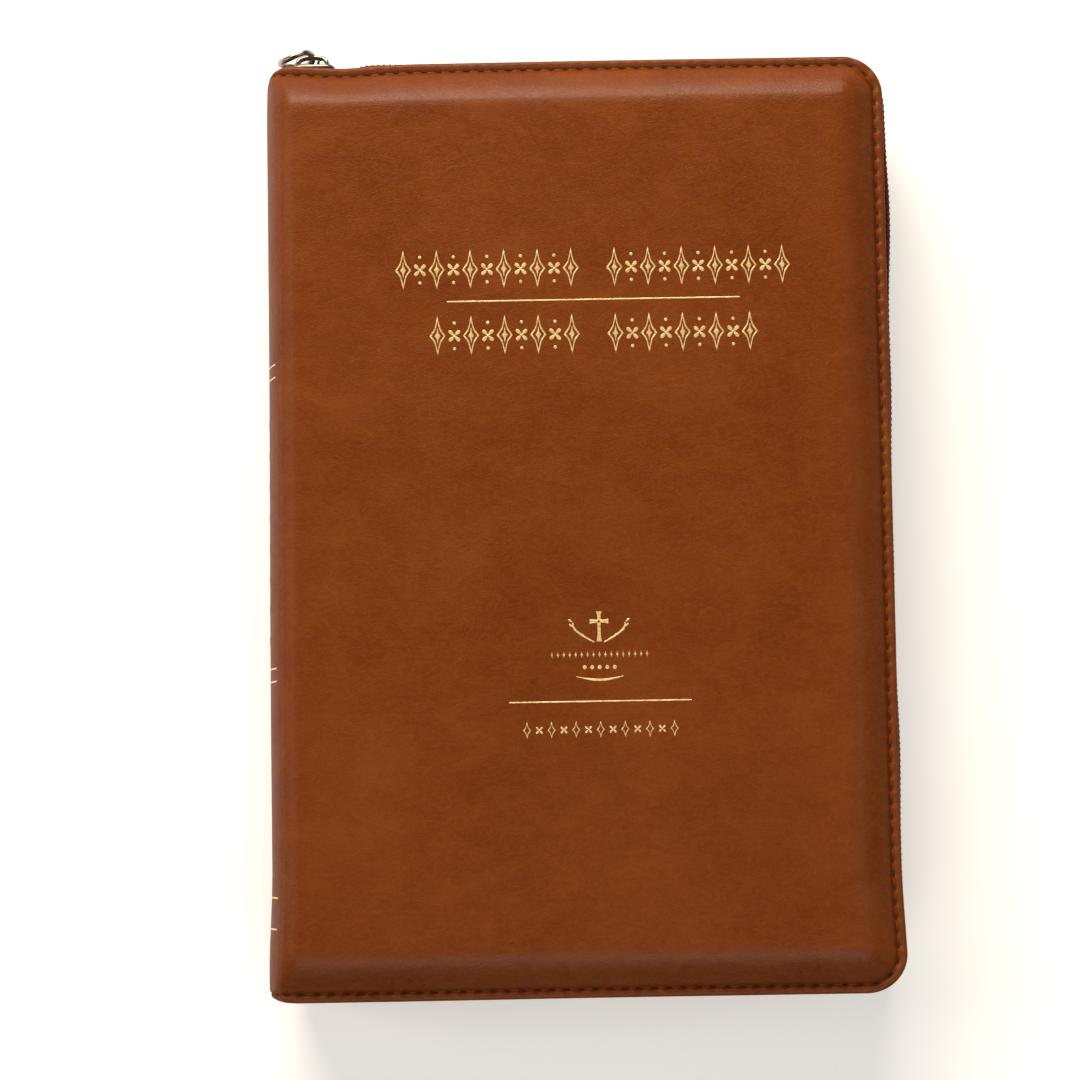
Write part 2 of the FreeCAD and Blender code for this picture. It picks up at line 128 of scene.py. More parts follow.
def tube(path, radius, sides=8, closed=False):
    """(points, faces) of a round tube along a path. radius is one number or one for each point."""
    path = np.asarray(path, float)
    n = len(path)
    ahead = np.roll(path, -1, 0) if closed else np.vstack([path[1:], path[-1:]])
    behind = np.roll(path, 1, 0) if closed else np.vstack([path[:1], path[:-1]])
    tangent = ahead - behind
    tangent /= np.linalg.norm(tangent, axis=1)[:, None]
    up = np.array([0.0, 0.0, 1.0])
    if abs(tangent @ up).mean() > 0.9:
        up = np.array([1.0, 0.0, 0.0])
    side = np.cross(tangent, up)
    side /= np.maximum(np.linalg.norm(side, axis=1)[:, None], 1e-9)
    lift = np.cross(side, tangent)
    r = np.broadcast_to(np.asarray(radius, float), (n,))[:, None]
    points = []
    for k in range(sides):
        turn = TAU * k / sides
        points.append(path + (side * math.cos(turn) + lift * math.sin(turn)) * r)
    points = np.stack(points, 1).reshape(-1, 3)
    faces = grid_faces(n, sides, wrap_rows=closed, wrap_cols=True)
    if not closed:
        faces.append(list(range(sides))[::-1])
        faces.append([(n - 1) * sides + k for k in range(sides)])
    return [tuple(p) for p in points], faces


def around(count):
    """Evenly spaced angles, once round."""
    return np.linspace(0, TAU, count + 1)[:-1]


def squared(value, power):
    """A sine or cosine made fuller, for outlines with soft corners."""
    return np.sign(value) * abs(value) ** power


def flattened(rows):
    return [p for row in rows for p in row]


def attach(piece, slot, body, *nodes):
    """Hides the CAD nodes the piece stands for and parents the piece to the body it rides on. slot is not used.
    """
    if nodes:
        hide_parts(*nodes)
    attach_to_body(piece, body)


def smooth_step(t):
    t = np.clip(t, 0, 1)
    return t * t * (3 - 2 * t)


def waves(x, y, length, seed):
    """Gentle seeded unevenness, about -1 to 1, of about that wavelength."""
    rng = np.random.default_rng(seed)
    total = 0
    for _ in range(7):
        turn, phase = rng.uniform(0, TAU, 2)
        k = TAU / (length * rng.uniform(0.7, 1.6))
        total = total + np.sin(k * (x * math.cos(turn) + y * math.sin(turn)) + phase)
    return total / 4.5


# ---------------------------------------------------------------- materials


class Nodes:
    """A short way to write a node material."""

    def __init__(self, name):
        self.material = bpy.data.materials.new(name)
        self.material.use_nodes = True
        self.tree = self.material.node_tree
        self.shader = self.tree.nodes["Principled BSDF"]

    def add(self, kind, **values):
        node = self.tree.nodes.new(kind)
        for key, value in values.items():
            if key in node.inputs:
                node.inputs[key].default_value = value
            else:
                setattr(node, key, value)
        return node

    def link(self, a, b):
        self.tree.links.new(a, b)

    def set(self, **values):
        for key, value in values.items():
            self.shader.inputs[key.replace("_", " ")].default_value = value

    def position(self, scale=(1, 1, 1), rotation=(0, 0, 0)):
        coords = self.add("ShaderNodeTexCoord")
        mapping = self.add("ShaderNodeMapping", Scale=scale, Rotation=rotation)
        self.link(coords.outputs["Object"], mapping.inputs["Vector"])
        return mapping.outputs["Vector"]

    def noise(self, where, scale, detail=4.0, roughness=0.55, distortion=0.0):
        values = {"Scale": scale, "Detail": detail, "Roughness": roughness, "Distortion": distortion}
        node = self.add("ShaderNodeTexNoise", **values)
        self.link(where, node.inputs["Vector"])
        return node.outputs["Fac"]

    def cells(self, where, scale):
        """Distance from the edges between cells."""
        node = self.add("ShaderNodeTexVoronoi", feature="DISTANCE_TO_EDGE", Scale=scale)
        self.link(where, node.inputs["Vector"])
        return node.outputs["Distance"]

    def wave(self, where, scale, direction="X", distortion=0.0):
        node = self.add("ShaderNodeTexWave", bands_direction=direction, Scale=scale, Distortion=distortion)
        self.link(where, node.inputs["Vector"])
        return node.outputs["Fac"]

    def ramp(self, value, stops):
        """stops are (place, colour) pairs; a colour is a grey number or (r, g, b)."""
        node = self.add("ShaderNodeValToRGB")
        ramp = node.color_ramp
        while len(ramp.elements) < len(stops):
            ramp.elements.new(0.5)
        for element, (place, colour) in zip(ramp.elements, stops):
            element.position = place
            rgb = (colour,) * 3 if isinstance(colour, (int, float)) else colour
            element.color = (*rgb, 1)
        self.link(value, node.inputs["Fac"])
        return node.outputs["Color"]

    def mix(self, factor, a, b, blend="MIX"):
        node = self.add("ShaderNodeMix", data_type="RGBA", blend_type=blend)
        if isinstance(factor, (int, float)):
            node.inputs["Factor"].default_value = factor
        else:
            self.link(factor, node.inputs["Factor"])
        for name, value in (("A", a), ("B", b)):
            socket = [s for s in node.inputs if s.name == name and s.type == "RGBA"][0]
            if isinstance(value, tuple):
                socket.default_value = (*value, 1)
            else:
                self.link(value, socket)
        return [s for s in node.outputs if s.type == "RGBA"][0]

    def sum(self, a, b, gain=1.0):
        node = self.add("ShaderNodeMath", operation="MULTIPLY_ADD")
        self.link(b, node.inputs[0])
        node.inputs[1].default_value = gain
        self.link(a, node.inputs[2])
        return node.outputs[0]

    def bump(self, height, depth, strength=1.0, under=None):
        node = self.add("ShaderNodeBump", Strength=strength, Distance=depth)
        self.link(height, node.inputs["Height"])
        if under is not None:
            self.link(under, node.inputs["Normal"])
        return node.outputs["Normal"]

    def finish(self, color=None, roughness=None, normal=None):
        for socket, value in (("Base Color", color), ("Roughness", roughness), ("Normal", normal)):
            if value is not None:
                self.link(value, self.shader.inputs[socket])
        return self.material


def leather_material():
    """Cognac leather: fine grain, faint long creases, mottled dye, a soft waxed gloss."""
    m = Nodes("cognac_leather")
    at = m.position()
    stretched = m.position((1.0, 1.7, 1.0), (0, 0, 0.25))
    mottle = m.noise(at, 26, 5, 0.6, 0.4)
    patches = m.noise(stretched, 75, 6, 0.65, 0.8)
    tones = [(0.30, (0.132, 0.024, 0.001)), (0.52, (0.150, 0.029, 0.0012)), (0.72, (0.172, 0.0365, 0.002))]
    base = m.ramp(mottle, tones)
    pull = m.ramp(patches, [(0.42, 0.0), (0.62, 0.10), (0.78, 0.22)])
    color = m.mix(pull, base, (0.30, 0.088, 0.012))
    fine = m.noise(at, 900, 3, 0.5)
    color = m.mix(m.ramp(fine, [(0.4, 0.0), (0.75, 0.10)]), color, (0.085, 0.018, 0.003))

    grain = m.cells(stretched, 820)
    pores = m.noise(at, 1500, 3, 0.6)
    creases = m.noise(stretched, 190, 8, 0.62, 2.2)
    crease_lines = m.ramp(creases, [(0.44, 1.0), (0.50, 0.0), (0.56, 1.0)])
    soft = m.noise(at, 60, 3, 0.5, 0.6)
    height = m.sum(m.ramp(grain, [(0.0, 0.0), (0.16, 1.0)]), pores, 0.6)
    height = m.sum(height, crease_lines, 0.55)
    color = m.mix(m.ramp(creases, [(0.46, 0.0), (0.50, 0.22), (0.54, 0.0)]), color, (0.27, 0.078, 0.012))
    normal = m.bump(soft, 0.9 * MM, 0.4)
    normal = m.bump(height, 0.030 * MM, 0.85, normal)
    roughness = m.ramp(m.sum(mottle, creases, 0.6), [(0.55, 0.33), (1.05, 0.43)])
    # The panels are waxed; the spine and the steep margins are duller.
    facing = m.add("ShaderNodeSeparateXYZ")
    m.link(m.add("ShaderNodeNewGeometry").outputs["Normal"], facing.inputs[0])
    upright = m.add("ShaderNodeMath", operation="ABSOLUTE")
    m.link(facing.outputs["Z"], upright.inputs[0])
    wax = m.ramp(upright.outputs[0], [(0.45, 0.02), (0.80, 0.13), (0.94, 0.25), (1.0, 0.14)])
    m.link(wax, m.shader.inputs["Specular IOR Level"])
    return m.finish(color, roughness, normal)


def thread_material():
    """Waxed brown thread with its twist."""
    m = Nodes("stitching_thread")
    at = m.position((1, 1, 1), (0.4, 0.3, 0.7))
    twist = m.wave(at, 2600, "DIAGONAL", 2.0)
    color = m.ramp(twist, [(0.1, (0.030, 0.0075, 0.003)), (0.9, (0.105, 0.030, 0.011))])
    m.set(Roughness=0.7, Specular_IOR_Level=0.25)
    return m.finish(color, None, m.bump(twist, 0.08 * MM, 0.8))


def woven_material(name, dark, light, pitch=0.42 * MM, sheen=0.15):
    """A close herringbone weave for tapes and cloth."""
    m = Nodes(name)
    scale = 1 / pitch
    warp = m.wave(m.position((1, 1, 1), (0.0, 0.0, 0.78)), scale * 0.32, "DIAGONAL")
    weft = m.wave(m.position((1, 1, 1), (0.0, 0.0, -0.78)), scale * 0.32, "DIAGONAL")
    weave = m.sum(warp, weft, 1.0)
    wear = m.noise(m.position(), 90, 5, 0.6)
    color = m.mix(m.ramp(weave, [(0.5, 0.0), (1.6, 1.0)]), dark, light)
    color = m.mix(m.ramp(wear, [(0.45, 0.0), (0.8, 0.35)]), color, light)
    m.set(Roughness=0.82, Sheen_Weight=sheen, Sheen_Roughness=0.5)
    return m.finish(color, None, m.bump(weave, 0.12 * MM, 0.7))


def coil_material():
    """Dyed nylon monofilament."""
    m = Nodes("zip_coil_nylon")
    streaks = m.noise(m.position(), 420, 4, 0.6)
    color = m.ramp(streaks, [(0.3, (0.070, 0.013, 0.005)), (0.7, (0.145, 0.030, 0.011))])
    rough = m.ramp(streaks, [(0.3, 0.42), (0.7, 0.58)])
    m.set(Specular_IOR_Level=0.15)
    return m.finish(color, rough)


def nickel_material():
    """Dark nickel plate with fine scratches and a warmer tone where it has rubbed."""
    m = Nodes("gunmetal_nickel")
    at = m.position()
    rub = m.noise(at, 240, 5, 0.6)
    scratches = m.noise(m.position((1, 14, 1), (0.3, 0.2, 0.9)), 380, 5, 0.7)
    color = m.ramp(rub, [(0.35, (0.20, 0.18, 0.165)), (0.65, (0.42, 0.375, 0.32))])
    rough = m.ramp(scratches, [(0.35, 0.16), (0.7, 0.34)])
    m.set(Metallic=1.0)
    return m.finish(color, rough, m.bump(scratches, 0.02 * MM, 0.35))


def foil_material():
    """Stamped gold foil: brushed streaks, rubbed darker in places."""
    m = Nodes("gold_foil")
    streaks = m.noise(m.position((1, 3.5, 1), (0, 0, 0.5)), 700, 4, 0.7, 0.4)
    rub = m.noise(m.position(), 520, 5, 0.7)
    golds = [(0.30, (0.42, 0.23, 0.065)), (0.44, (0.74, 0.49, 0.20)), (0.64, (0.95, 0.76, 0.42))]
    color = m.ramp(streaks, golds)
    color = m.mix(m.ramp(rub, [(0.56, 0.0), (0.74, 0.55)]), color, (0.28, 0.125, 0.035))
    rough = m.ramp(streaks, [(0.3, 0.48), (0.7, 0.26)])
    m.set(Metallic=0.35)
    return m.finish(color, rough, m.bump(streaks, 0.05 * MM, 0.5))


def paper_material(name, dark, light):
    """Thin printed-book paper: a faint cloudy tone and fine fibres, with no print."""
    m = Nodes(name)
    cloud = m.noise(m.position(), 45, 5, 0.6)
    fibre = m.noise(m.position((1, 5, 1)), 1500, 4, 0.7)
    color = m.mix(m.ramp(fibre, [(0.35, 0.0), (0.75, 0.5)]), m.ramp(cloud, [(0.3, dark), (0.7, light)]), dark)
    m.set(Roughness=0.86, Specular_IOR_Level=0.25)
    return m.finish(color, None, m.bump(fibre, 0.02 * MM, 0.4))


def gilt_edge_material():
    """The cut edges of the leaves, gilded: fine level lines, brighter and duller by the handful of leaves."""
    m = Nodes("gilt_page_edge")
    sheets = m.noise(m.position((0.02, 0.02, 1)), 9000, 3, 0.8)
    groups = m.noise(m.position((0.12, 0.12, 1)), 1300, 5, 0.7)
    golds = [(0.32, (0.42, 0.24, 0.075)), (0.5, (0.74, 0.50, 0.20)), (0.7, (0.90, 0.69, 0.34))]
    color = m.ramp(groups, golds)
    color = m.mix(m.ramp(sheets, [(0.3, 0.45), (0.6, 0.0)]), color, (0.30, 0.16, 0.06))
    rough = m.ramp(groups, [(0.35, 0.42), (0.65, 0.30)])
    m.set(Metallic=0.75)
    return m.finish(color, rough, m.bump(m.sum(sheets, groups, 1.2), 0.16 * MM, 0.6))


def board_material():
    """Grey bookbinding board."""
    m = Nodes("book_board")
    specks = m.noise(m.position(), 900, 6, 0.7)
    color = m.ramp(specks, [(0.3, (0.13, 0.11, 0.09)), (0.7, (0.27, 0.24, 0.20))])
    m.set(Roughness=0.9)
    return m.finish(color, None, m.bump(specks, 0.06 * MM, 0.5))


def striped_band_material():
    """A head band's thread, in two alternating colours."""
    m = Nodes("band_stripes")
    stripes = m.wave(m.position((1, 1, 1)), 160, "Z", 0.3)
    color = m.ramp(stripes, [(0.42, (0.55, 0.40, 0.20)), (0.55, (0.16, 0.045, 0.02))])
    m.set(Roughness=0.6, Sheen_Weight=0.3)
    return m.finish(color, None, m.bump(m.wave(m.position(), 480, "Z"), 0.12 * MM, 0.8))


def satin_material():
    """Ribbon satin: fine lengthwise floats with a soft sheen."""
    m = Nodes("ribbon_satin")
    floats = m.wave(m.position((1, 1, 1)), 900, "X", 0.6)
    cloud = m.noise(m.position(), 120, 4, 0.6)
    color = m.ramp(cloud, [(0.3, (0.075, 0.010, 0.006)), (0.7, (0.16, 0.026, 0.014))])
    m.set(Roughness=0.38, Sheen_Weight=0.5, Sheen_Roughness=0.3)
    return m.finish(color, None, m.bump(floats, 0.04 * MM, 0.6))


def floor_material():
    """A white table lit a little from below."""
    m = Nodes("pale_floor")
    tone = m.ramp(m.noise(m.position(), 3, 3, 0.5), [(0.3, (0.86, 0.86, 0.86)), (0.7, (0.90, 0.90, 0.90))])
    m.link(tone, m.shader.inputs["Emission Color"])
    m.set(Roughness=0.8, Specular_IOR_Level=0.1, Emission_Strength=0.32)
    return m.finish(tone)


LEATHER = leather_material()
THREAD = thread_material()
TAPE = woven_material("zip_tape_weave", (0.030, 0.008, 0.004), (0.095, 0.030, 0.014))
LINING = woven_material("lining_weave", (0.035, 0.013, 0.006), (0.085, 0.036, 0.018), 0.6 * MM, 0.2)
MULL = woven_material("mull_weave", (0.45, 0.42, 0.36), (0.80, 0.77, 0.70), 1.0 * MM, 0.1)
COIL = coil_material()
NICKEL = nickel_material()
FOIL = foil_material()
PAGE = paper_material("page_paper", (0.70, 0.66, 0.56), (0.82, 0.79, 0.70))
ENDPAPER = paper_material("endpaper", (0.60, 0.55, 0.45), (0.74, 0.70, 0.60))
GILT = gilt_edge_material()
BOARD = board_material()
BAND = striped_band_material()
SATIN = satin_material()

# ---------------------------------------------------------------- the leather sheet


def rounded_curve(corners, radius, step=0.1 * MM):
    """Points a step apart along a polyline, with its corners softened over about that radius."""
    points = []
    for (x0, z0), (x1, z1) in zip(corners, corners[1:]):
        n = max(int(math.hypot(x1 - x0, z1 - z0) / step), 1)
        points += [(x0 + (x1 - x0) * k / n, z0 + (z1 - z0) * k / n) for k in range(n)]
    points = np.array(points + [corners[-1]])
    reach = int(3 * radius / step)
    offsets = np.arange(-reach, reach + 1)
    weights = np.exp(-0.5 * (offsets * step / radius) ** 2)
    weights /= weights.sum()
    first = 2 * points[0] - points[1 : reach + 1][::-1]
    last = 2 * points[-1] - points[-reach - 1 : -1][::-1]
    padded = np.vstack([first, points, last])
    return np.stack([np.convolve(padded[:, k], weights, "valid") for k in (0, 1)], 1)


def mirrored(curve):
    """A curve that ends at the spine's middle, carried on over the back cover."""
    back = curve[:-1][::-1].copy()
    back[:, 1] = 2 * MID_Z - back[:, 1]
    return np.vstack([curve, back])


def spine_arc(x_mid, z_half, bulge, count=9):
    """Points of the spine's outer face from its upper end down to its middle."""
    radius = (z_half**2 + bulge**2) / (2 * bulge)
    turns = np.linspace(math.asin(z_half / radius), 0, count)
    return [(x_mid + radius * (1 - math.cos(t)), MID_Z + radius * math.sin(t)) for t in turns]


class Section:
    """The wrapped sheet's cross-section at one level of the margin."""

    def __init__(self, z_panel, ridge, arc, radius):
        corners = [(FORE_X, z_panel), (ridge[0] + 3.1 * MM, z_panel), ridge] + arc
        self.curve = mirrored(rounded_curve(corners, radius))
        lengths = np.hypot(*np.diff(self.curve, axis=0).T)
        self.along = np.concatenate([[0], np.cumsum(lengths)])
        self.along -= self.along[-1] / 2
        tangent = np.gradient(self.curve, axis=0)
        tangent /= np.linalg.norm(tangent, axis=1)[:, None]
        self.out = np.stack([tangent[:, 1], -tangent[:, 0]], 1)
        self.marks = None

    def mark(self, x_marks):
        """Where the section passes each x on its front side, for matching one section to another."""
        half = len(self.curve) // 2 + 1
        x, along = self.curve[:half, 0], self.along[:half]
        front = np.interp([-m for m in x_marks], -x, along)
        self.marks = np.concatenate([front, [0], -front[::-1]])

    def at(self, share):
        return self._read(self.curve, share)

    def normal(self, share):
        return self._read(self.out, share)

    def _read(self, table, share):
        along = np.interp(share, np.arange(len(self.marks)), self.marks)
        return np.stack([np.interp(along, self.along, table[:, k]) for k in (0, 1)], -1)


PANEL = Section(
    TOP_Z,
    (COVER_X - 3.2 * MM, TOP_Z - 1.5 * MM),
    spine_arc(SPINE_X, 18.4 * MM, 3.6 * MM),
    0.75 * MM,
)
EDGE = Section(
    TOP_Z - RIM_DROP,
    (COVER_X - 5.6 * MM, TOP_Z - RIM_DROP - 1.2 * MM),
    spine_arc(SPINE_X + 0.3 * MM, 12.6 * MM, 1.7 * MM),
    1.2 * MM,
)
PANEL.mark([FORE_X, COVER_X, COVER_X - 3.2 * MM])
EDGE.mark([FORE_X, COVER_X - 2.6 * MM, COVER_X - 5.6 * MM])
# Along the sheet, a share of 0 is the front fore-edge, 1 the front panel's spine side, 2 the front ridge,
# 3 the middle of the spine, and 4, 5 and 6 the same places on the back.
SHEET_HALF = PANEL.along[-1]

# The rolled rim's profile, from the margin outwards, over the side and under: inset and height above the rim.
RIM_STEPS = [(CORNER_R / MM, 0.0), (3.4, 0.0), (2.80, -0.10), (2.25, -0.42), (1.85, -0.12), (1.45, 0.08)]
RIM_STEPS += [(0.95, 0.12), (0.50, 0.02), (0.14, -0.30), (0.0, -0.85), (0.0, -1.60), (0.22, -2.05), (0.70, -2.25)]
RIM_STEPS.append((1.70, -2.25))
RIM_PROFILE = np.array(RIM_STEPS) * MM
PROFILE_KEY = np.linspace(0, 1, len(RIM_PROFILE))


def pillow(inset):
    """How far down the margin a place is: 1 at the rim, 0 on the panel."""
    s = np.clip((inset - RIM_W) / (MARGIN - RIM_W), 0, 1)
    return (1 - s) ** 2.15


def margin_rows(half, pitch):
    """Coordinates across one direction of the sheet: ('key', sign) rows in the rim, plain rows inside it."""
    keys = np.interp(np.arange(0, 13.01, 0.5), np.arange(len(RIM_PROFILE)), PROFILE_KEY)
    inner = half - CORNER_R
    count = int(round(2 * inner / pitch))
    flat = np.linspace(-inner, inner, count + 1)
    # A slope needs closer rows than the panel does.
    fine = np.linspace(0, 2.4 * MM, 5)[1:-1]
    flat = np.unique(np.concatenate([flat, -inner + fine, inner - fine]).round(7))
    position = np.concatenate([np.full(len(keys) - 1, -inner), flat, np.full(len(keys) - 1, inner)])
    key = np.concatenate([-keys[:0:-1], np.zeros(len(flat)), keys[1:]])
    return position, key


def sheet_coordinates(half_a, half_b, pitch):
    """The sheet's grid: each point's place when flat, its inset from the outline and its place on the rim."""
    pos_a, key_a = margin_rows(half_a, pitch)
    pos_b, key_b = margin_rows(half_b, pitch)
    a, b = np.meshgrid(pos_a, pos_b, indexing="ij")
    ka, kb = np.meshgrid(key_a, key_b, indexing="ij")
    key = np.maximum(abs(ka), abs(kb))
    # In a corner, squares of rows become arcs.
    over_a, over_b = abs(kb) / np.maximum(abs(ka), 1e-9), abs(ka) / np.maximum(abs(kb), 1e-9)
    turn = np.where(abs(ka) >= abs(kb), over_a, 2 - over_b)
    turn *= math.pi / 4
    rim_inset = np.interp(key, PROFILE_KEY, RIM_PROFILE[:, 0])
    lift = np.interp(key, PROFILE_KEY, RIM_PROFILE[:, 1])
    reach = CORNER_R - rim_inset
    corner = (ka != 0) & (kb != 0)
    a = a + np.sign(ka) * reach * np.where(corner, np.cos(turn), (ka != 0))
    b = b + np.sign(kb) * reach * np.where(corner, np.sin(turn), (kb != 0))
    side_a, side_b = half_a - abs(a), half_b - abs(b)
    # The panel's own corner is rounded too.
    soft = 2.5 * MM
    blend = np.clip(0.5 + 0.5 * (side_b - side_a) / soft, 0, 1)
    flat_inset = side_b + (side_a - side_b) * blend - soft * blend * (1 - blend)
    inset = np.where(key > 0, rim_inset, flat_inset)
    return a, b, inset, lift, key


def share_of(a):
    """A place across the flat sheet as a share along the section."""
    return np.interp(a, PANEL.marks, np.arange(len(PANEL.marks)))


def wrap(a, b, inset, lift):
    """Points of the leather's outer surface for places on the flat sheet."""
    share = share_of(a)
    down = pillow(inset)
    high, low = PANEL.at(share), EDGE.at(share)
    out = EDGE.normal(share)
    x = high[..., 0] * (1 - down) + low[..., 0] * down + out[..., 0] * lift
    z = high[..., 1] * (1 - down) + low[..., 1] * down + out[..., 1] * lift
    y = np.array(b, float)
    # The soft case is a little uneven.
    slack = np.clip(inset / MARGIN, 0, 1)
    front = np.sign(z - MID_Z)
    on_cover = smooth_step((x - COVER_X) / (6 * MM))
    z = z + front * on_cover * 0.16 * MM * waves(x, y, 70 * MM, 3) * (0.4 + 0.6 * slack)
    # The cover dips behind the slider, and its tail flares.
    dip = np.exp(-(((x + 59 * MM) / (9 * MM)) ** 2)) * smooth_step((y - 0.108) / (8 * MM)) * (z > MID_Z)
    y = y - 0.75 * MM * dip
    z = z - 0.3 * MM * dip
    flare = smooth_step((-y - 0.085) / (35 * MM))
    x = x + flare * 1.2 * MM * np.clip(x / FORE_X, -1, 1)
    x = x - 0.5 * MM * smooth_step((COVER_X + 3 * MM - x) / (4 * MM)) * smooth_step((0.06 - y) / 0.12)
    # The spine's ends are rounded.
    near = np.clip(1 - inset / (3.6 * MM), 0, 1)
    x = x + 3.6 * MM * (1 - np.sqrt(1 - near**2)) * smooth_step((COVER_X - 1 * MM - x) / (5 * MM))
    y = y + 0.18 * MM * waves(x, z, 60 * MM, 11) * smooth_step((abs(y) - 0.1) / (15 * MM))
    return np.stack([x, y, z], -1)


SEAM = share_of(0) + 0.72  # the two leather pieces meet here, low on the spine
BLEND_SPINE = (-0.0776, 0, 0.0385)
BLEND_COVER = (-0.0724, 0, 0.0448)


def below(point):
    """The same point for the back cover."""
    return (point[0], point[1], 2 * MID_Z - point[2])


STITCH_INSET = 2.15 * MM
STITCH_LIFT = -0.50 * MM
CORNER_STITCHES = 3


def stitch_phase(a, b):
    """Runs through one turn for every stitch along the outline; a whole number where a stitch lies."""
    run_a = (SHEET_HALF - CORNER_R) / (round((SHEET_HALF - CORNER_R) / STITCH_PITCH) + 0.5)
    run_b = (HALF_Y - CORNER_R) / (round((HALF_Y - CORNER_R) / STITCH_PITCH) + 0.5)
    past_a, past_b = abs(a) - SHEET_HALF + CORNER_R, abs(b) - HALF_Y + CORNER_R
    corner = np.arctan2(past_b, past_a) / (math.pi / 2) * CORNER_STITCHES + 0.5
    along_side = SHEET_HALF - abs(a) < HALF_Y - abs(b)
    return np.where((past_a > 0) & (past_b > 0), corner, np.where(along_side, b / run_b, a / run_a))


def pucker(a, b, inset, key):
    """The rim is pulled down at each stitch and swells between stitches."""
    near = np.exp(-(((inset - STITCH_INSET) / (0.95 * MM)) ** 2)) * (key > 0)
    roll = np.exp(-(((inset - 1.0 * MM) / (0.7 * MM)) ** 2)) * (key > 0)
    return (near + 0.35 * roll) * np.cos(TAU * stitch_phase(a, b))


def case_leather():
    a, b, inset, lift, key = sheet_coordinates(SHEET_HALF, HALF_Y, 0.9 * MM)
    lift = lift - 0.27 * MM * pucker(a, b, inset, key)
    points = wrap(a, b, inset, lift)
    share = share_of(a)
    rows, cols = a.shape
    faces = np.array(grid_faces(rows, cols))
    middle = share.reshape(-1)[faces].mean(1)
    pieces = []
    for name, chosen in (("front_case_leather", middle < SEAM), ("back_case_leather", middle >= SEAM)):
        used = np.unique(faces[chosen])
        renumber = np.full(rows * cols, -1)
        renumber[used] = np.arange(len(used))
        piece = mesh_object(name, points.reshape(-1, 3)[used], renumber[faces[chosen]], LEATHER)
        pieces.append(piece)
    front, back = pieces
    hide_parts("front_cover_leather", "front_hinge_leather", "spine_leather")
    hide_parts("back_cover_leather", "back_hinge_leather")
    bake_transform(front)
    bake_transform(back)


# ---------------------------------------------------------------- stitching


def stitch_places():
    """Places (a, b, direction) of the stitches round the front half of the sheet."""
    inner_a, inner_b = SHEET_HALF - CORNER_R, HALF_Y - CORNER_R
    count_a, count_b = round(inner_a / STITCH_PITCH), round(inner_b / STITCH_PITCH)
    run_a, run_b = inner_a / (count_a + 0.5), inner_b / (count_b + 0.5)
    reach = CORNER_R - STITCH_INSET
    places = []
    for end in (1, -1):
        places += [(-k * run_a, end * (HALF_Y - STITCH_INSET), 0.0) for k in range(count_a + 1)]
        for k in range(CORNER_STITCHES):
            t = (k + 0.5) / CORNER_STITCHES * math.pi / 2
            place = (-inner_a - reach * math.cos(t), end * (inner_b + reach * math.sin(t)))
            places.append((*place, end * (math.pi / 2 - t)))
    places += [(-SHEET_HALF + STITCH_INSET, k * run_b, math.pi / 2) for k in range(-count_b, count_b + 1)]
    return places


def stitch_shape(a, b, turn):
    """One stitch: a short thread, slightly slanted, that rises from one hole and sinks into the next."""
    turn += 0.16
    shares = np.linspace(-1, 1, 7)
    along_a = a + shares * 1.15 * MM * math.cos(turn)
    along_b = b + shares * 1.15 * MM * math.sin(turn)
    lift = STITCH_LIFT + (0.16 - 0.62 * shares**4) * MM
    points = wrap(along_a, along_b, np.full(7, STITCH_INSET), lift)
    return tube(points, 0.25 * MM * (1 - 0.3 * shares**4), 7)


def stitching():
    front, back = [], []
    for a, b, turn in stitch_places():
        front.append(stitch_shape(a, b, turn))
        if a < 0 and float(share_of(-a)) > SEAM + 0.1:
            back.append(stitch_shape(-a, b, math.pi - turn))
    pieces = (
        ("front_case_stitching", front, "front_cover", BLEND_SPINE, BLEND_COVER),
        ("back_case_stitching", back, "back_cover", below(BLEND_SPINE), below(BLEND_COVER)),
    )
    for name, parts, body, start, end in pieces:
        piece = joined(name, parts, THREAD)
        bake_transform(piece)
    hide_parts("front_cover_stitching", "spine_stitching")
    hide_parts("back_cover_stitching")


# ---------------------------------------------------------------- zipper

CHAIN_OUT = coil_high.y - HALF_Y  # how far the coils stand past the rim
COIL_THICK = 2.2 * MM
TAPE_OUT = CHAIN_OUT - COIL_THICK  # the tape's outer face at the chain
TEETH_PITCH = 1.5 * MM


def zip_place(s, outset):
    """A place s along the zipper from its head end: point and outward direction, in plan."""
    radius = CORNER_R + outset
    top, side = FORE_X - CORNER_R, HALF_Y - CORNER_R
    start = tape_low.x
    straight = top - start
    arc = CORNER_R * math.pi / 2
    if s < straight:
        return start + s, side + radius, 0.0, 1.0
    s -= straight
    if s < arc:
        t = s / CORNER_R
        return top + radius * math.sin(t), side + radius * math.cos(t), math.sin(t), math.cos(t)
    s -= arc
    if s < 2 * side:
        return top + radius, side - s, 1.0, 0.0
    s -= 2 * side
    if s < arc:
        t = s / CORNER_R
        return top + radius * math.cos(t), -side - radius * math.sin(t), math.cos(t), -math.sin(t)
    s -= arc
    return top - s, -side - radius, 0.0, -1.0


ZIP_LENGTH = 2 * (FORE_X - CORNER_R - tape_low.x) + math.pi * CORNER_R + 2 * (HALF_Y - CORNER_R)
TAIL_TUCK = 1.3 * MM  # the gusset is drawn in at the tail


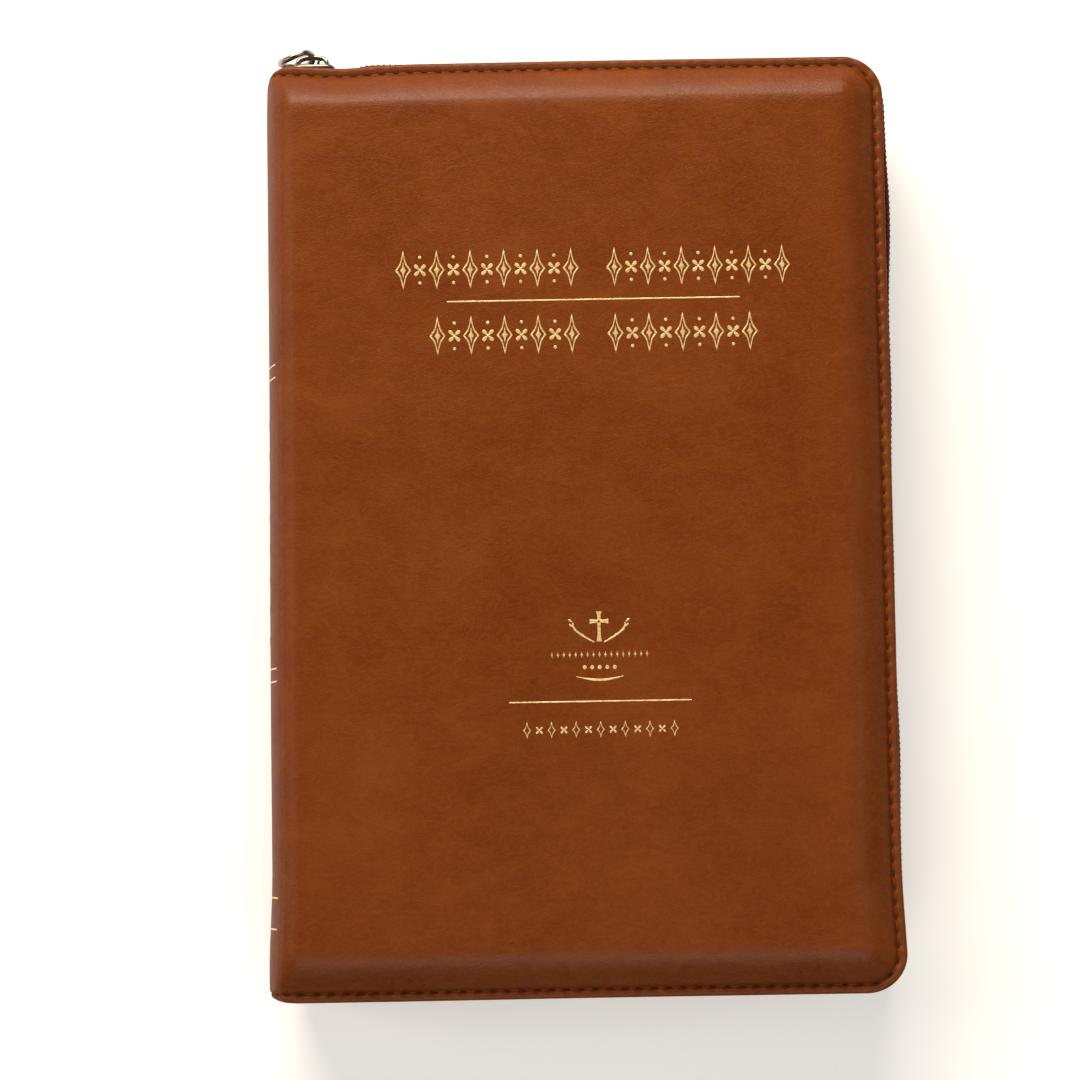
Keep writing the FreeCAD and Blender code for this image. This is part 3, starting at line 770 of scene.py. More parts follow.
def bulge(s):
    """How far the gusset swells past the rim: most beside the slider and below the head's corner."""
    slider_end = slider_high.x - tape_low.x
    near_slider = math.exp(-(((s - slider_end - 13 * MM) / (15 * MM)) ** 2))
    near_slider *= float(smooth_step((s - slider_end) / (9 * MM)))
    corner = FORE_X - tape_low.x
    below_corner = math.exp(-(((s - corner - 34 * MM) / (24 * MM)) ** 2))
    tail = smooth_step((s - ZIP_LENGTH + 170 * MM) / (25 * MM))
    wander = 0.22 * math.sin(s * 61) + 0.16 * math.sin(s * 137 + 1)
    ease = float(smooth_step((s - corner - 5 * MM) / (20 * MM)) * smooth_step((ZIP_LENGTH - s) / (15 * MM)))
    return MM * (1.7 * near_slider + 1.2 * below_corner + wander * ease) - TAIL_TUCK * float(tail)


def zip_point(s, outset, z):
    """A point of the gusset: s along it, that far outside the rim, at that height."""
    x, y, nx, ny = zip_place(s, outset)
    share = math.cos(min(abs(z - MID_Z) / (tape_high.z - MID_Z), 1) * math.pi / 2)
    push = bulge(s) * share
    return (x + nx * push, y + ny * push, z)


def zip_tape(name, side):
    """A woven tape tucked under the rim. side is 1 for the front, -1 for the back."""
    seam_z = tape_high.z - MID_Z
    profile = [(-4.4, seam_z), (-2.4, seam_z), (-1.75, seam_z - 0.25 * MM)]
    profile += [(-1.5, 0.0135), (-1.15, 0.0105), (-0.75, 0.0070), (-0.70, 0.0045), (-0.68, 0.0026)]
    profile += [(-0.62, 0.0019), (-0.80, 0.0015), (-1.15, 0.0016), (-1.28, 0.0026), (-1.30, 0.0045)]
    profile += [(-1.40, 0.0070), (-1.80, 0.0105), (-2.15, 0.0132)]
    profile += [(-2.5, seam_z - 0.5 * MM), (-4.4, seam_z - 0.5 * MM)]
    steps = np.linspace(0, ZIP_LENGTH, 420)
    grid = np.array([[zip_point(s, out * MM, MID_Z + side * up) for out, up in profile] for s in steps])
    piece = grid_object(name + "_weave", grid, TAPE, flip=side > 0)
    piece.data.materials.append(TAPE)
    return piece


def coil_side(side):
    """One half of the coil: a loop of monofilament at each tooth, and the cord inside it."""
    start = coil_low.x - tape_low.x + 1.2 * MM
    end = ZIP_LENGTH - start
    count = int((end - start) / TEETH_PITCH)
    parts = []
    inner, outer = TAPE_OUT + 0.36 * MM, CHAIN_OUT - 0.36 * MM
    for i in range(count):
        s = start + (i + (0.25 if side > 0 else 0.75)) * TEETH_PITCH
        lead = 0.24 * MM
        loop = [
            (s - lead, inner, 3.0 * MM),
            (s - lead, inner, 1.2 * MM),
            (s - lead * 0.6, inner + 0.05 * MM, -0.25 * MM),
            (s - lead * 0.2, (inner + outer) / 2 - 0.35 * MM, -0.80 * MM),
            (s + lead * 0.2, (inner + outer) / 2 + 0.35 * MM, -0.80 * MM),
            (s + lead * 0.6, outer - 0.05 * MM, -0.25 * MM),
            (s + lead, outer, 1.2 * MM),
            (s + lead, outer - 0.1 * MM, 2.6 * MM),
            (s + lead + 0.3 * MM, (inner + outer) / 2, 3.05 * MM),
        ]
        path = [zip_point(u, out, MID_Z + side * up) for u, out, up in loop]
        parts.append(tube(path, 0.34 * MM, 6))
    cord = [zip_point(s, (inner + outer) / 2, MID_Z + side * 1.9 * MM) for s in np.linspace(start, end, 400)]
    parts.append(tube(cord, 0.85 * MM, 8))
    return parts


def end_clip(x, y, side):
    """A pinched metal clip round one coil's end."""
    z = MID_Z + side * 2.1 * MM
    rows = []
    for t, size in ((-1, 0.75), (-0.8, 1.0), (0.8, 1.0), (1, 0.75)):
        turns = around(16)
        ring = [
            (
                x + 0.62 * MM * t,
                y + 1.25 * MM * size * squared(math.cos(u), 0.5),
                z + 1.05 * MM * size * squared(math.sin(u), 0.5),
            )
            for u in turns
        ]
        rows.append(ring)
    points = flattened(rows)
    faces = grid_faces(4, 16, wrap_cols=True) + [list(range(16))[::-1], list(range(48, 64))]
    return points, faces


def zipper():
    chain_y = HALF_Y + (TAPE_OUT + CHAIN_OUT) / 2
    for name, side, body in (("front_zip", 1, "front_cover"), ("back_zip", -1, "back_cover")):
        tape = zip_tape(name + "_tape", side)
        attach(tape, "zip_tape", body, name + "_tape")
        coil = joined(name + "_teeth", coil_side(side), COIL)
        attach(coil, "zip_coil", body, name + "_coil")
        clip = joined(name + "_end_clip", [end_clip(coil_low.x + 0.6 * MM, chain_y, side)], NICKEL)
        attach(clip, "nickel", body)
    stop_low, stop_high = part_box("zip_bottom_stop")
    middle = (stop_low + stop_high) / 2
    stop = joined("tail_stop", [end_clip(middle.x, -chain_y + TAIL_TUCK, -0.3)], NICKEL)
    attach(stop, "nickel", "back_cover", "zip_bottom_stop")


# ---------------------------------------------------------------- slider and pull


def loft(outline, levels):
    """A solid from one plan outline at several levels: (y, shrink towards the middle) pairs."""
    outline = np.array(outline)
    middle = outline.mean(0)
    rows = []
    for y, shrink in levels:
        away = outline - middle
        size = np.linalg.norm(away, axis=1)[:, None]
        rows.append(middle + away * (1 - shrink / size))
    n = len(outline)
    points = [(p[0], y, p[1]) for row, (y, _) in zip(rows, levels) for p in row]
    faces = grid_faces(len(levels), n, wrap_cols=True)
    faces.append(list(range(n)))
    faces.append([(len(levels) - 1) * n + k for k in range(n)][::-1])
    return points, faces


def plate_outline(count=56):
    """A slider's plate in plan: two round shoulders at the mouth and a straight, narrower tail."""
    x0, x1 = slider_low.x, slider_high.x
    half = (slider_high.z - slider_low.z) / 2
    points = []
    for k in range(count):
        t = TAU * k / count
        c, s = math.cos(t), math.sin(t)
        x = (x0 + x1) / 2 + (x1 - x0) / 2 * squared(c, 0.42)
        taper = 1 - 0.16 * float(smooth_step((x0 + 5 * MM - x) / (5 * MM)))
        notch = 0.9 * MM * math.exp(-((s / 0.5) ** 2)) * (1 if c < 0 else 0)
        points.append((x + notch, MID_Z + half * taper * squared(s, 0.42)))
    return points


def slider():
    tape_in = HALF_Y + TAPE_OUT - 0.6 * MM
    inner_y = slider_low.y
    outer_y = HALF_Y + CHAIN_OUT + 0.3 * MM
    plate = 1.2 * MM
    soft = [(0.0, 0.45), (0.25, 0.1), (0.5, 0.0), (0.75, 0.0), (1.0, 0.12), (1.2, 0.5)]
    outline = plate_outline()
    parts = [loft(outline, [(outer_y + y * MM, s * MM) for y, s in soft])]
    parts.append(loft(outline, [(inner_y + y * MM, s * MM) for y, s in soft]))
    # Lips over the coils, with the gap between them for the tapes.
    half = (slider_high.z - slider_low.z) / 2
    for side in (-1, 1):
        x0, x1 = slider_low.x + 2.6 * MM, slider_high.x - 1.3 * MM
        lip = []
        for x in np.linspace(x0, x1, 12):
            ease = 0.35 * MM * math.cos((x - x0) / (x1 - x0) * math.pi) ** 2
            z = MID_Z + side * (half - 0.45 * MM - ease * 0.5)
            lip.append((x, outer_y - 0.15 * MM, z))
        for drop in (0.0, 0.5 * MM, 1.0 * MM):
            parts.append(tube([(x, y - drop, z) for x, y, z in lip], 0.42 * MM, 8))
    diamond_x = slider_low.x + 2.1 * MM
    wedge = [
        (diamond_x + 1.25 * MM * math.cos(t), MID_Z + 1.15 * MM * math.sin(t)) for t in around(20)
    ]
    # The wedge keeps clear of the coils, which stay closed in the model.
    parts.append(loft(wedge, [(outer_y - 0.16 * MM, 0.2 * MM), (outer_y + 0.1 * MM, 0)]))
    parts.append(loft(wedge, [(inner_y + plate - 0.1 * MM, 0), (tape_in - 0.2 * MM, 0.2 * MM)]))
    piece = joined("slider_body_cast", parts, NICKEL)
    saddle = [
        (slider_low.x + (9.1 + 1.5 * math.cos(t)) * MM, MID_Z + 1.25 * MM * math.sin(t)) for t in around(24)
    ]
    rise = [(-0.1, 0.0), (1.2, 0.0), (1.65, 0.25), (1.85, 0.7)]
    top = outer_y + plate
    bridge_parts = [bridge_shape(top), loft(saddle, [(top + y * MM, k * MM) for y, k in rise])]
    bridge = joined("slider_bridge", bridge_parts, NICKEL)
    attach(piece, "nickel", "zip_slider", "slider_body")
    attach(bridge, "nickel", "zip_slider")


def bridge_shape(base):
    """The arch the ring hangs from: a flat strap bent into a bow, wider at its feet."""
    x0, x1 = slider_low.x + 2.0 * MM, slider_low.x + 11.0 * MM
    rise = slider_high.y - base
    rows = []
    turns = np.linspace(0, math.pi, 33)
    for t in turns:
        c = math.cos(t)
        x = (x0 + x1) / 2 - (x1 - x0 - 1.1 * MM) / 2 * squared(c, 0.72)
        y = base + (rise - 0.55 * MM) * math.sin(t) ** 0.62
        foot = abs(c) ** 3
        half_w, half_t = (1.25 + 0.6 * foot) * MM, 0.62 * MM
        nx, ny = -c, math.sin(t)
        size = math.hypot(nx, ny)
        ring = []
        for u in around(16):
            across = half_w * squared(math.cos(u), 0.6)
            out = half_t * squared(math.sin(u), 0.8)
            ring.append((x + nx / size * out, y + ny / size * out, MID_Z + across))
        rows.append(ring)
    points = flattened(rows)
    faces = grid_faces(len(rows), 16, wrap_cols=True)
    faces += [list(range(16))[::-1], [16 * (len(rows) - 1) + k for k in range(16)]]
    return points, faces


def pull():
    centre = (ring_low + ring_high) / 2
    radius = (ring_high.x - ring_low.x) / 2 - 0.5 * MM
    rows = []
    for t in around(72):
        # The loop is a broad band, bowed out from the slider on the side away from the tab.
        away = (math.degrees(t) - 40 + 180) % 360 - 180
        bow = 2.2 * MM * math.exp(-((away / 58) ** 2))
        c, s = math.cos(t), math.sin(t)
        rows.append(
            [
                (
                    centre.x + (radius + 0.80 * MM * math.cos(u)) * c,
                    centre.y + bow + 0.75 * MM * squared(math.sin(u), 0.6),
                    centre.z + (radius + 0.80 * MM * math.cos(u)) * s,
                )
                for u in around(14)
            ]
        )
    points = flattened(rows)
    ring = joined("pull_ring_wire", [(points, grid_faces(72, 14, wrap_rows=True, wrap_cols=True))], NICKEL)
    attach(ring, "nickel", "pull_ring", "pull_ring")

    eye = Vector((centre.x, centre.y, centre.z - radius))
    tab_low, tab_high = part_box("pull_tab")
    parts = [eye_shape(eye, tab_high.z - eye.z)]
    length = eye.z - 0.8 * MM - tab_low.z
    half = (tab_high.x - tab_low.x) / 2
    outline = []
    for k in range(64):
        t = TAU * k / 64
        c, s = math.cos(t), math.sin(t)
        along = 0.5 + 0.5 * squared(s, 0.55)  # 1 at the neck
        width = half * (1 - 0.62 * along**1.6)
        outline.append((eye.x + width * squared(c, 0.6), tab_low.z + length * along))
    soft = [(-0.5 * MM, 0.35 * MM), (-0.28 * MM, 0.0), (0.28 * MM, 0.0), (0.5 * MM, 0.35 * MM)]
    parts.append(loft(outline, [(eye.y + y, shrink) for y, shrink in soft]))
    middle_z = tab_low.z + length * 0.45
    rim = [(x * 0.62 + eye.x * 0.38, z * 0.62 + middle_z * 0.38) for x, z in outline]
    for face in (-1, 1):
        parts.append(tube([(x, eye.y + face * 0.47 * MM, z) for x, z in rim], 0.16 * MM, 6, closed=True))
    tab = joined("pull_tab_cast", parts, NICKEL)
    attach(tab, "nickel", "pull_tab", "pull_tab")


def eye_shape(eye, radius):
    """The tab's rolled eye, a short sleeve round the ring's wire."""
    rows = []
    half = 0.9 * MM
    profile = [(-1, 0.68), (-1, 0.92), (-0.8, 1.0), (0.8, 1.0), (1, 0.92), (1, 0.68)]
    for along, size in profile:
        r = radius * size
        x = eye.x + half * along
        rows.append([(x, eye.y + r * math.cos(t), eye.z + r * math.sin(t)) for t in around(24)])
    points = flattened(rows)
    return points, grid_faces(len(rows), 24, wrap_rows=True, wrap_cols=True)


# ---------------------------------------------------------------- gold foil


def on_panel(points, lift):
    """Lays plan points on the front panel's surface."""
    xy = np.array([(p[0], p[1]) for p in points])
    a = np.interp(-xy[:, 0], [-FORE_X, -COVER_X], [PANEL.marks[0], PANEL.marks[1]])
    inset = np.full(len(xy), 20 * MM)
    placed = wrap(a, xy[:, 1], inset, np.zeros(len(xy)))
    placed[:, 0], placed[:, 1] = xy[:, 0], xy[:, 1]
    placed[:, 2] += lift
    return [tuple(p) for p in placed]


def foil_patch(outline):
    """A flat stamped patch with a bevelled edge, from its plan outline."""
    n = len(outline)
    outline = np.array(outline)
    middle = outline.mean(0)
    inner = middle + (outline - middle) * 0.9
    low = on_panel(outline, 0.0)
    mid = on_panel(outline, 0.05 * MM)
    top = on_panel(inner, 0.075 * MM)
    faces = grid_faces(3, n, wrap_cols=True)
    faces.append([2 * n + k for k in range(n)])
    return low + mid + top, faces


def foil_stroke(path, widths):
    """A stamped stroke of changing width along a plan path."""
    path = np.array(path)
    ahead = np.gradient(path, axis=0)
    ahead /= np.linalg.norm(ahead, axis=1)[:, None]
    side = np.stack([-ahead[:, 1], ahead[:, 0]], 1) * (np.array(widths) / 2)[:, None]
    n = len(path)
    rows = [path - side, path - side * 0.75, path + side * 0.75, path + side]
    heights = (0.01, 0.07, 0.07, 0.01)
    points = [p for row, h in zip(rows, heights) for p in on_panel(row, h * MM)]
    faces = grid_faces(4, n)
    return points, [f[::-1] for f in faces]


def hollow_sided(x, y, half_w, half_h, steps, hollow):
    """The plan outline of a lozenge whose sides curve inwards."""
    points = []
    for k in range(4):
        t0, t1 = math.pi / 2 * k, math.pi / 2 * (k + 1)
        for u in np.linspace(0, 1, steps + 1)[:-1]:
            px = (1 - u) * math.cos(t0) + u * math.cos(t1)
            py = (1 - u) * math.sin(t0) + u * math.sin(t1)
            pinch = 1 - hollow * math.sin(math.pi * u)
            points.append((x + half_w * px * pinch, y + half_h * py * pinch))
    return points


def lozenge(x, y, half_w, half_h):
    return foil_patch(hollow_sided(x, y, half_w, half_h, 5, 0.32))


def dot(x, y, radius):
    return foil_patch([(x + radius * math.cos(t), y + radius * math.sin(t)) for t in around(12)])


def open_lozenge(x, y, half_w, half_h, width):
    """The outline of a lozenge with hollow sides."""
    outer = hollow_sided(x, y, half_w, half_h, 8, 0.26)
    inner = hollow_sided(x, y, half_w - width, half_h - width * half_h / half_w, 8, 0.26)
    top = 0.06 * MM
    rows = [on_panel(outer, 0.0), on_panel(outer, top), on_panel(inner, top), on_panel(inner, 0.0)]
    return flattened(rows), grid_faces(4, len(outer), wrap_cols=True)


def petal(x, y, length, width, turn):
    """A leaf-shaped patch that starts near (x, y)."""
    c, s = math.cos(turn), math.sin(turn)
    points = []
    for t in around(16):
        along = length * (0.56 + 0.44 * math.cos(t))
        across = width / 2 * math.sin(t) * (0.75 + 0.25 * math.cos(t))
        points.append((x + along * c - across * s, y + along * s + across * c))
    return foil_patch(points)


def rosette(x, y, radius):
    """Four petals round a dot."""
    petals = [petal(x, y, radius, radius * 0.62, math.pi / 4 + k * math.pi / 2) for k in range(4)]
    return petals + [dot(x, y, radius * 0.16)]


def cross_foil(x, y, height, bar):
    """A plain cross with slightly flared ends."""
    parts = []
    u = np.linspace(0, 1, 15)
    flare = bar * (1 + 0.9 * abs(2 * u - 1) ** 5)
    parts.append(foil_stroke(np.stack([np.full(15, x), y - height / 2 + height * u], 1), flare))
    arm = height * 0.31
    parts.append(foil_stroke(np.stack([x - arm + 2 * arm * u, np.full(15, y + height * 0.17)], 1), flare))
    return parts


def rule_foil(x, y, length, width):
    u = np.linspace(-0.5, 0.5, 60)
    return foil_stroke(np.stack([x + length * u, np.full(60, y)], 1), np.full(60, width))


TITLE_ROWS = ((65.1 * MM, 6), (48.1 * MM, 5))  # height, lozenges on each side
TITLE_RULE_Y, TITLE_RULE_L = 56.9 * MM, 74.5 * MM
FOIL_RULE_W = 0.34 * MM
CROSS_Y = -26.5 * MM
SPRAY_Y = -30.5  # millimetres, the foot of the two sprays
BEADS_Y = -33.6 * MM
DOTS_Y = -36.8 * MM
ARC_Y = -39.1  # millimetres
LOWER_RULE_Y, LOWER_RULE_L = -45.4 * MM, 46 * MM
SMALL_ROW_Y = -52.5 * MM
SPINE_RULES = (42.4, 39.1, -35.4, -38.7, -93.5, -101.4)  # millimetres


def title_row(x, y, count):
    """A row of tall open lozenges with rosettes between them, and a gap in the middle of the row."""
    parts = []
    for i in range(count):
        for side in (-1, 1):
            cx = x + side * (5.55 + i * 8.55) * MM
            parts.append(open_lozenge(cx, y, 2.1 * MM, 5.2 * MM, 0.55 * MM))
            parts.append(lozenge(cx, y, 0.75 * MM, 2.1 * MM))
            if i + 1 < count:
                parts += rosette(cx + side * 4.275 * MM, y, 1.95 * MM)
                parts += [dot(cx + side * 4.275 * MM, y + flip * 3.3 * MM, 0.42 * MM) for flip in (-1, 1)]
    return parts


def foils():
    title_low, title_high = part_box("title_foil")
    lower_low, lower_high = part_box("lower_foil")
    x = (title_low.x + title_high.x) / 2
    parts = [part for y, count in TITLE_ROWS for part in title_row(x, y, count)]
    parts.append(rule_foil(x, TITLE_RULE_Y, TITLE_RULE_L, FOIL_RULE_W))
    attach(joined("title_foil_stamp", parts, FOIL), "gold_foil", "front_cover", "title_foil")

    x = (lower_low.x + lower_high.x) / 2
    parts = cross_foil(x, CROSS_Y, 7.6 * MM, 0.75 * MM)
    for flip in (-1, 1):
        u = np.linspace(0, 1, 24)
        stem = np.stack([x + flip * (1.2 + 5.4 * np.sin(u * 1.7)) * MM, (SPRAY_Y + 5.0 * u) * MM], 1)
        parts.append(foil_stroke(stem, 0.34 * MM + 0.16 * MM * np.sin(u * math.pi)))
        for k in (0.25, 0.5, 0.75, 1.0):
            px, py = x + flip * (1.2 + 5.4 * math.sin(k * 1.7)) * MM, (SPRAY_Y + 5.0 * k) * MM
            parts.append(petal(px, py, 1.5 * MM, 0.62 * MM, math.pi / 2 - flip * 0.9))
    for i in range(-8, 9):
        parts.append(lozenge(x + i * 1.5 * MM, BEADS_Y, 0.36 * MM, 0.85 * MM))
    parts += [dot(x + i * 1.9 * MM, DOTS_Y, 0.52 * MM) for i in range(-2, 3)]
    u = np.linspace(-1, 1, 30)
    arc = np.stack([x + 6.0 * MM * u, (ARC_Y - 0.9 * np.cos(u * math.pi / 2)) * MM], 1)
    parts.append(foil_stroke(arc, 0.12 * MM + 0.42 * MM * np.cos(u * math.pi / 2)))
    parts.append(rule_foil(x, LOWER_RULE_Y, LOWER_RULE_L, FOIL_RULE_W))
    for i in range(-3, 4):
        parts.append(open_lozenge(x + i * 6.2 * MM, SMALL_ROW_Y, 1.05 * MM, 2.2 * MM, 0.34 * MM))
        if i < 3:
            parts += rosette(x + (i + 0.5) * 6.2 * MM, SMALL_ROW_Y, 1.15 * MM)
    attach(joined("lower_foil_stamp", parts, FOIL), "gold_foil", "front_cover", "lower_foil")


def spine_foils():
    """Pairs of rules across the spine, and a row of lozenges down its middle."""
    parts = []
    mid = share_of(0)

    def band(y, height, low=-1.0, high=1.0):
        shares = mid + np.linspace(low, high, 40) * 0.78
        a = np.interp(shares, np.arange(len(PANEL.marks)), PANEL.marks)
        rows = []
        for k, lift in ((-1, 0.01), (-0.7, 0.07), (0.7, 0.07), (1, 0.01)):
            b = np.full(40, y + k * height / 2)
            inset = np.full(40, MARGIN * 2)
            rows.append(wrap(a, b, inset, np.zeros(40)) + np.array([-lift * MM, 0, 0]))
        points = [tuple(p) for row in rows for p in row]
        return points, grid_faces(4, 40)

    for y in SPINE_RULES:
        parts.append(band(y * MM, 0.4 * MM))
    for y in np.arange(-28, 32, 8.0):
        for k in range(-3, 4):
            height = 5.2 * MM * (1 - abs(k) / 4)
            parts.append(band(y * MM, height, k * 0.085 - 0.045, k * 0.085 + 0.045))
    attach(joined("spine_foil_stamp", parts, FOIL), "gold_foil", "book_block", "spine_foil")


# ---------------------------------------------------------------- text block and leaves


def page_slab(name):
    """A slab of leaves with crisp faces: paper on its flat sides and gilt on its cut edges."""
    low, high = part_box(name)
    rows = []
    n = 60
    for z in np.linspace(low.z, high.z, 12):
        x0, x1 = back_x(z), fore_x(z)
        bottom = [(x, low.y, z) for x in np.linspace(x0, x1, n)]
        fore = [(x1, y, z) for y in np.linspace(low.y, high.y, n)[1:]]
        head = [(x, high.y, z) for x in np.linspace(x1, x0, n)[1:]]
        spine = [(x0, y, z) for y in np.linspace(high.y, low.y, n)[1:-1]]
        rows.append(bottom + fore + head + spine)
    count = len(rows[0])
    faces = grid_faces(len(rows), count, wrap_cols=True)
    cut = len(faces)
    faces.append(list(range(count))[::-1])
    faces.append([(len(rows) - 1) * count + k for k in range(count)])
    piece = mesh_object(name + "_pages", flattened(rows), faces, GILT, smooth=False)
    piece.data.materials.append(PAGE)
    for polygon in piece.data.polygons[cut:]:
        polygon.material_index = 1
    attach(piece, "page_paper", "book_block", name)


BLOCK_TOP = leaf_high.z
BLOCK_R = 30.0 * MM
BLOCK_BACK_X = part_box("text_block_middle")[0].x
FORE_PAGE_X = leaf_high.x + 0.2 * MM
HOLLOW = 3.7 * MM


def back_x(z):
    """The rounded back of the block."""
    return BLOCK_BACK_X + BLOCK_R - math.sqrt(BLOCK_R**2 - (z - MID_Z) ** 2)


def fore_x(z):
    """The hollow fore-edge of the block."""
    half = BLOCK_TOP - MID_Z
    return FORE_PAGE_X - HOLLOW * (1 - ((z - MID_Z) / half) ** 2)


def thin_leaf(name, material, body):
    """One leaf, a little wavy towards its fore-edge and clear of its neighbours."""
    low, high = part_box(name)
    xs = np.concatenate([low.x + np.linspace(0, 12 * MM, 14), np.linspace(low.x + 14 * MM, high.x, 34)])
    ys = np.linspace(low.y, high.y, 50)
    grid_x, grid_y = np.meshgrid(xs, ys, indexing="ij")
    half = (high.z - low.z) / 2
    middle = (high.z + low.z) / 2
    free = smooth_step((grid_x - low.x) / (60 * MM))
    sway = 0.45 * half * waves(grid_x, grid_y, 110 * MM, len(name)) * free
    top = np.stack([grid_x, grid_y, middle + half * 0.42 + sway], -1)
    bottom = np.stack([grid_x, grid_y, middle - half * 0.42 + sway], -1)
    rows, cols = grid_x.shape
    points = np.vstack([top.reshape(-1, 3), bottom.reshape(-1, 3)])
    faces = grid_faces(rows, cols)
    count = rows * cols
    faces = [f[::-1] for f in faces] + [[count + k for k in f] for f in faces]
    rim = [i * cols for i in range(rows)] + [(rows - 1) * cols + j for j in range(1, cols)]
    rim += [i * cols + cols - 1 for i in range(rows - 2, -1, -1)] + [j for j in range(cols - 2, 0, -1)]
    flat_faces = len(faces)
    for k, r in enumerate(rim):
        nxt = rim[(k + 1) % len(rim)]
        faces.append([r, nxt, count + nxt, count + r][::-1])
    piece = mesh_object(name + "_sheet", points, faces, material)
    piece.data.materials.append(GILT)
    for polygon in piece.data.polygons[flat_faces:]:
        polygon.material_index = 1
        polygon.use_smooth = False
    attach(piece, "endpaper" if material is ENDPAPER else "page_paper", body, name)


def pages():
    for name in ("text_block_back", "text_block_middle", "text_block_front"):
        page_slab(name)
    leaves = ("opening_section", "front_flyleaf", "presentation_leaf", "family_record_leaf", "title_leaf")
    for name in (*leaves, "back_flyleaf"):
        thin_leaf(name, ENDPAPER if "flyleaf" in name else PAGE, name)
    thin_leaf("front_pastedown", ENDPAPER, "front_cover")
    thin_leaf("back_pastedown", ENDPAPER, "back_cover")


def end_bands():
    """Thread-covered bands at the head and tail of the block's back."""
    for name in ("head_band", "tail_band"):
        low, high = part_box(name)
        y = (low.y + high.y) / 2
        path = [(back_x(z) - 0.1 * MM, y, z) for z in np.linspace(low.z + 0.5 * MM, high.z - 0.5 * MM, 70)]
        beads = 0.72 * MM + 0.10 * MM * np.sin(np.arange(70) * TAU / 2)
        piece = joined(name + "_silk", [tube(path, beads, 10)], BAND)
        attach(piece, "band_cloth", "book_block", name)


def ribbon():
    """The marker: between two parts of the block, over the tail edge and down it."""
    low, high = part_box("ribbon_marker")
    thick = 0.14 * MM
    z = high.z - 0.2 * MM
    r = 0.9 * MM
    path = [(y, z) for y in np.linspace(high.y, low.y + r + 0.4 * MM, 70)]
    for t in np.linspace(0, math.pi / 2, 8)[1:]:
        path.append((low.y + r + 0.4 * MM - r * math.sin(t), z - r + r * math.cos(t)))
    for k in np.linspace(0, 1, 22)[1:]:
        path.append((low.y + 0.4 * MM + 0.25 * MM * math.sin(k * 7), z - r - k * (z - r - low.z)))
    path = np.array(path)
    ahead = np.gradient(path, axis=0)
    ahead /= np.linalg.norm(ahead, axis=1)[:, None]
    normal = np.stack([ahead[:, 1], -ahead[:, 0]], 1)
    columns = []
    across = np.linspace(low.x, high.x, 12)
    for side in (1, -1):
        for x in across[::side]:
            cup = 0.06 * MM * math.cos((x - low.x) / (high.x - low.x) * math.pi)
            offset = path + normal * (side * thick / 2 + cup)
            columns.append(np.stack([np.full(len(path), x), offset[:, 0], offset[:, 1]], 1))
    grid = np.stack(columns, 1)
    piece = grid_object("ribbon_marker_satin", grid, SATIN)
    length = float(np.hypot(*np.diff(path, axis=0).T).sum())
    attach(piece, "ribbon_satin", "book_block", "ribbon_marker")


def end_tabs():
    """Leather tabs inside the spine's ends, slightly domed."""
    for name in ("head_zip_end_tab", "tail_zip_end_tab"):
        low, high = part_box(name)
        u = np.linspace(-1, 1, 15)
        mid_y, half_y, half_z = (low.y + high.y) / 2, (high.y - low.y) / 2, (high.z - low.z) / 2
        grid_y, grid_z = np.meshgrid(mid_y + half_y * u, np.linspace(low.z, high.z, 40), indexing="ij")
        edge = np.minimum(1 - abs(grid_y - mid_y) / half_y, 1 - abs(grid_z - MID_Z) / half_z)
        dome = 0.45 * MM * np.sqrt(np.clip(edge * 4, 0, 1))
        middle = (low.x + high.x) / 2
        front = np.stack([middle + dome, grid_y, grid_z], -1)
        back = np.stack([middle - dome, grid_y, grid_z], -1)
        rows, cols = grid_y.shape
        points = np.vstack([front.reshape(-1, 3), back.reshape(-1, 3)])
        faces = grid_faces(rows, cols)
        faces += [[rows * cols + k for k in f[::-1]] for f in faces]
        piece = mesh_object(name + "_leather", points, faces, LEATHER)
        attach(piece, "cover_leather", "book_block", name)


def paint_cad():
    """Procedural materials for the CAD nodes that still show."""
    finishes = {
        "front_cover_board": BOARD,
        "back_cover_board": BOARD,
        "spine_card": BOARD,
        "front_cover_lining": LINING,
        "back_cover_lining": LINING,
        "spine_mull": MULL,
    }
    for name, material in finishes.items():
        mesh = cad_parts[name].data
        mesh.materials.clear()
        mesh.materials.append(material)


# ---------------------------------------------------------------- stage, light and camera


def area_light(name, place, target, size, power, color=(1, 1, 1)):
    data = bpy.data.lights.new(name, "AREA")
    data.shape = "RECTANGLE"
    data.size, data.size_y = size
    data.energy = power
    data.color = color
    light = bpy.data.objects.new(name, data)
    bpy.context.scene.collection.objects.link(light)
    light.location = place
    light.rotation_euler = (Vector(target) - Vector(place)).to_track_quat("-Z", "Y").to_euler()


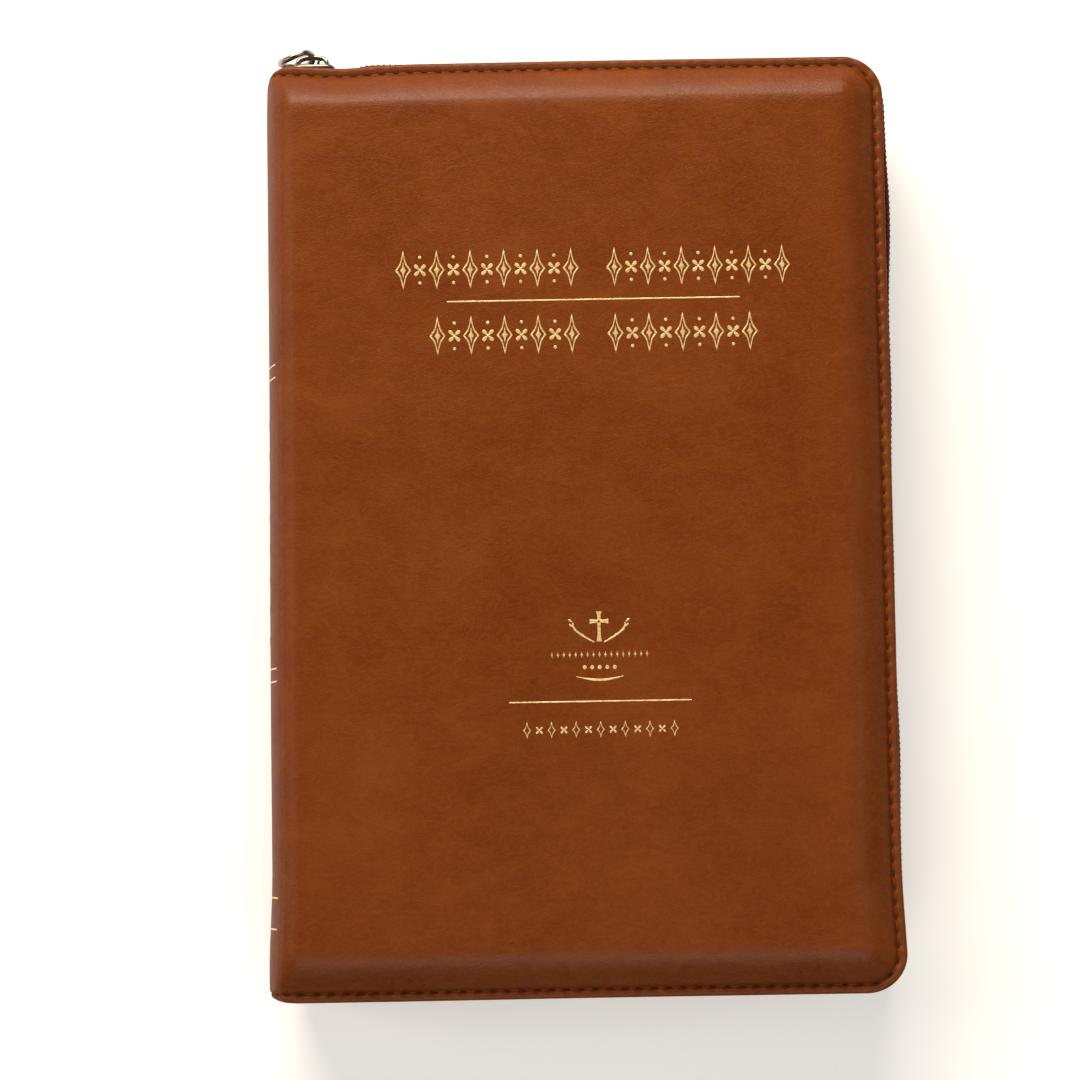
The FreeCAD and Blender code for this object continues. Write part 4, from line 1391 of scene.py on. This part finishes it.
def studio():
    corners = [(-3, -3, 0), (3, -3, 0), (3, 3, 0), (-3, 3, 0)]
    floor = mesh_object("floor", corners, [(0, 1, 2, 3)], floor_material(), smooth=False)
    world = bpy.data.worlds.new("studio")
    bpy.context.scene.world = world
    world.use_nodes = True
    background = world.node_tree.nodes["Background"]
    background.inputs["Color"].default_value = (0.95, 0.97, 1.0, 1)
    background.inputs["Strength"].default_value = 0.05
    area_light("head_softbox", (-0.20, 0.92, 0.68), (0.0, 0.02, 0.02), (1.0, 0.42), 20, (1.0, 0.90, 0.74))
    area_light("window_left", (-1.15, 0.10, 0.70), (0, 0, 0.02), (0.28, 1.1), 3.6, (1.0, 0.93, 0.86))
    area_light("fill_right", (0.95, -0.2, 1.35), (0, 0, 0.02), (0.9, 0.9), 3.2, (1.0, 0.95, 0.86))
    area_light("fill_tail", (0.0, -0.95, 1.35), (0, 0, 0.02), (1.2, 0.8), 10, (1.0, 0.95, 0.84))


CAMERA_DISTANCE = 0.88
CAMERA_ELEVATION = math.radians(85.1)
FRAME_HEIGHT = 0.2735  # what the picture's height spans at the cover
CAMERA_ROLL = math.radians(1.0)
CAMERA_SHIFT = (-0.0365, -0.0165)
SENSOR = 36


def camera():
    data = bpy.data.cameras.new("camera")
    data.sensor_width = SENSOR
    data.lens = SENSOR * CAMERA_DISTANCE / FRAME_HEIGHT
    data.clip_start = 0.05
    obj = bpy.data.objects.new("camera", data)
    bpy.context.scene.collection.objects.link(obj)
    target = Vector((0.0, 0.0, TOP_Z))
    away = Vector((0, -math.cos(CAMERA_ELEVATION), math.sin(CAMERA_ELEVATION)))
    obj.location = target + away * CAMERA_DISTANCE
    turn = (-away).to_track_quat("-Z", "Y").to_matrix()
    obj.rotation_euler = (turn @ Matrix.Rotation(-CAMERA_ROLL, 3, "Z")).to_euler()
    data.shift_x, data.shift_y = CAMERA_SHIFT
    bpy.context.scene.camera = obj
    bpy.context.scene.view_settings.view_transform = "Standard"


case_leather()
stitching()
zipper()
slider()
pull()
foils()
spine_foils()
pages()
end_bands()
ribbon()
end_tabs()
paint_cad()
studio()
camera()
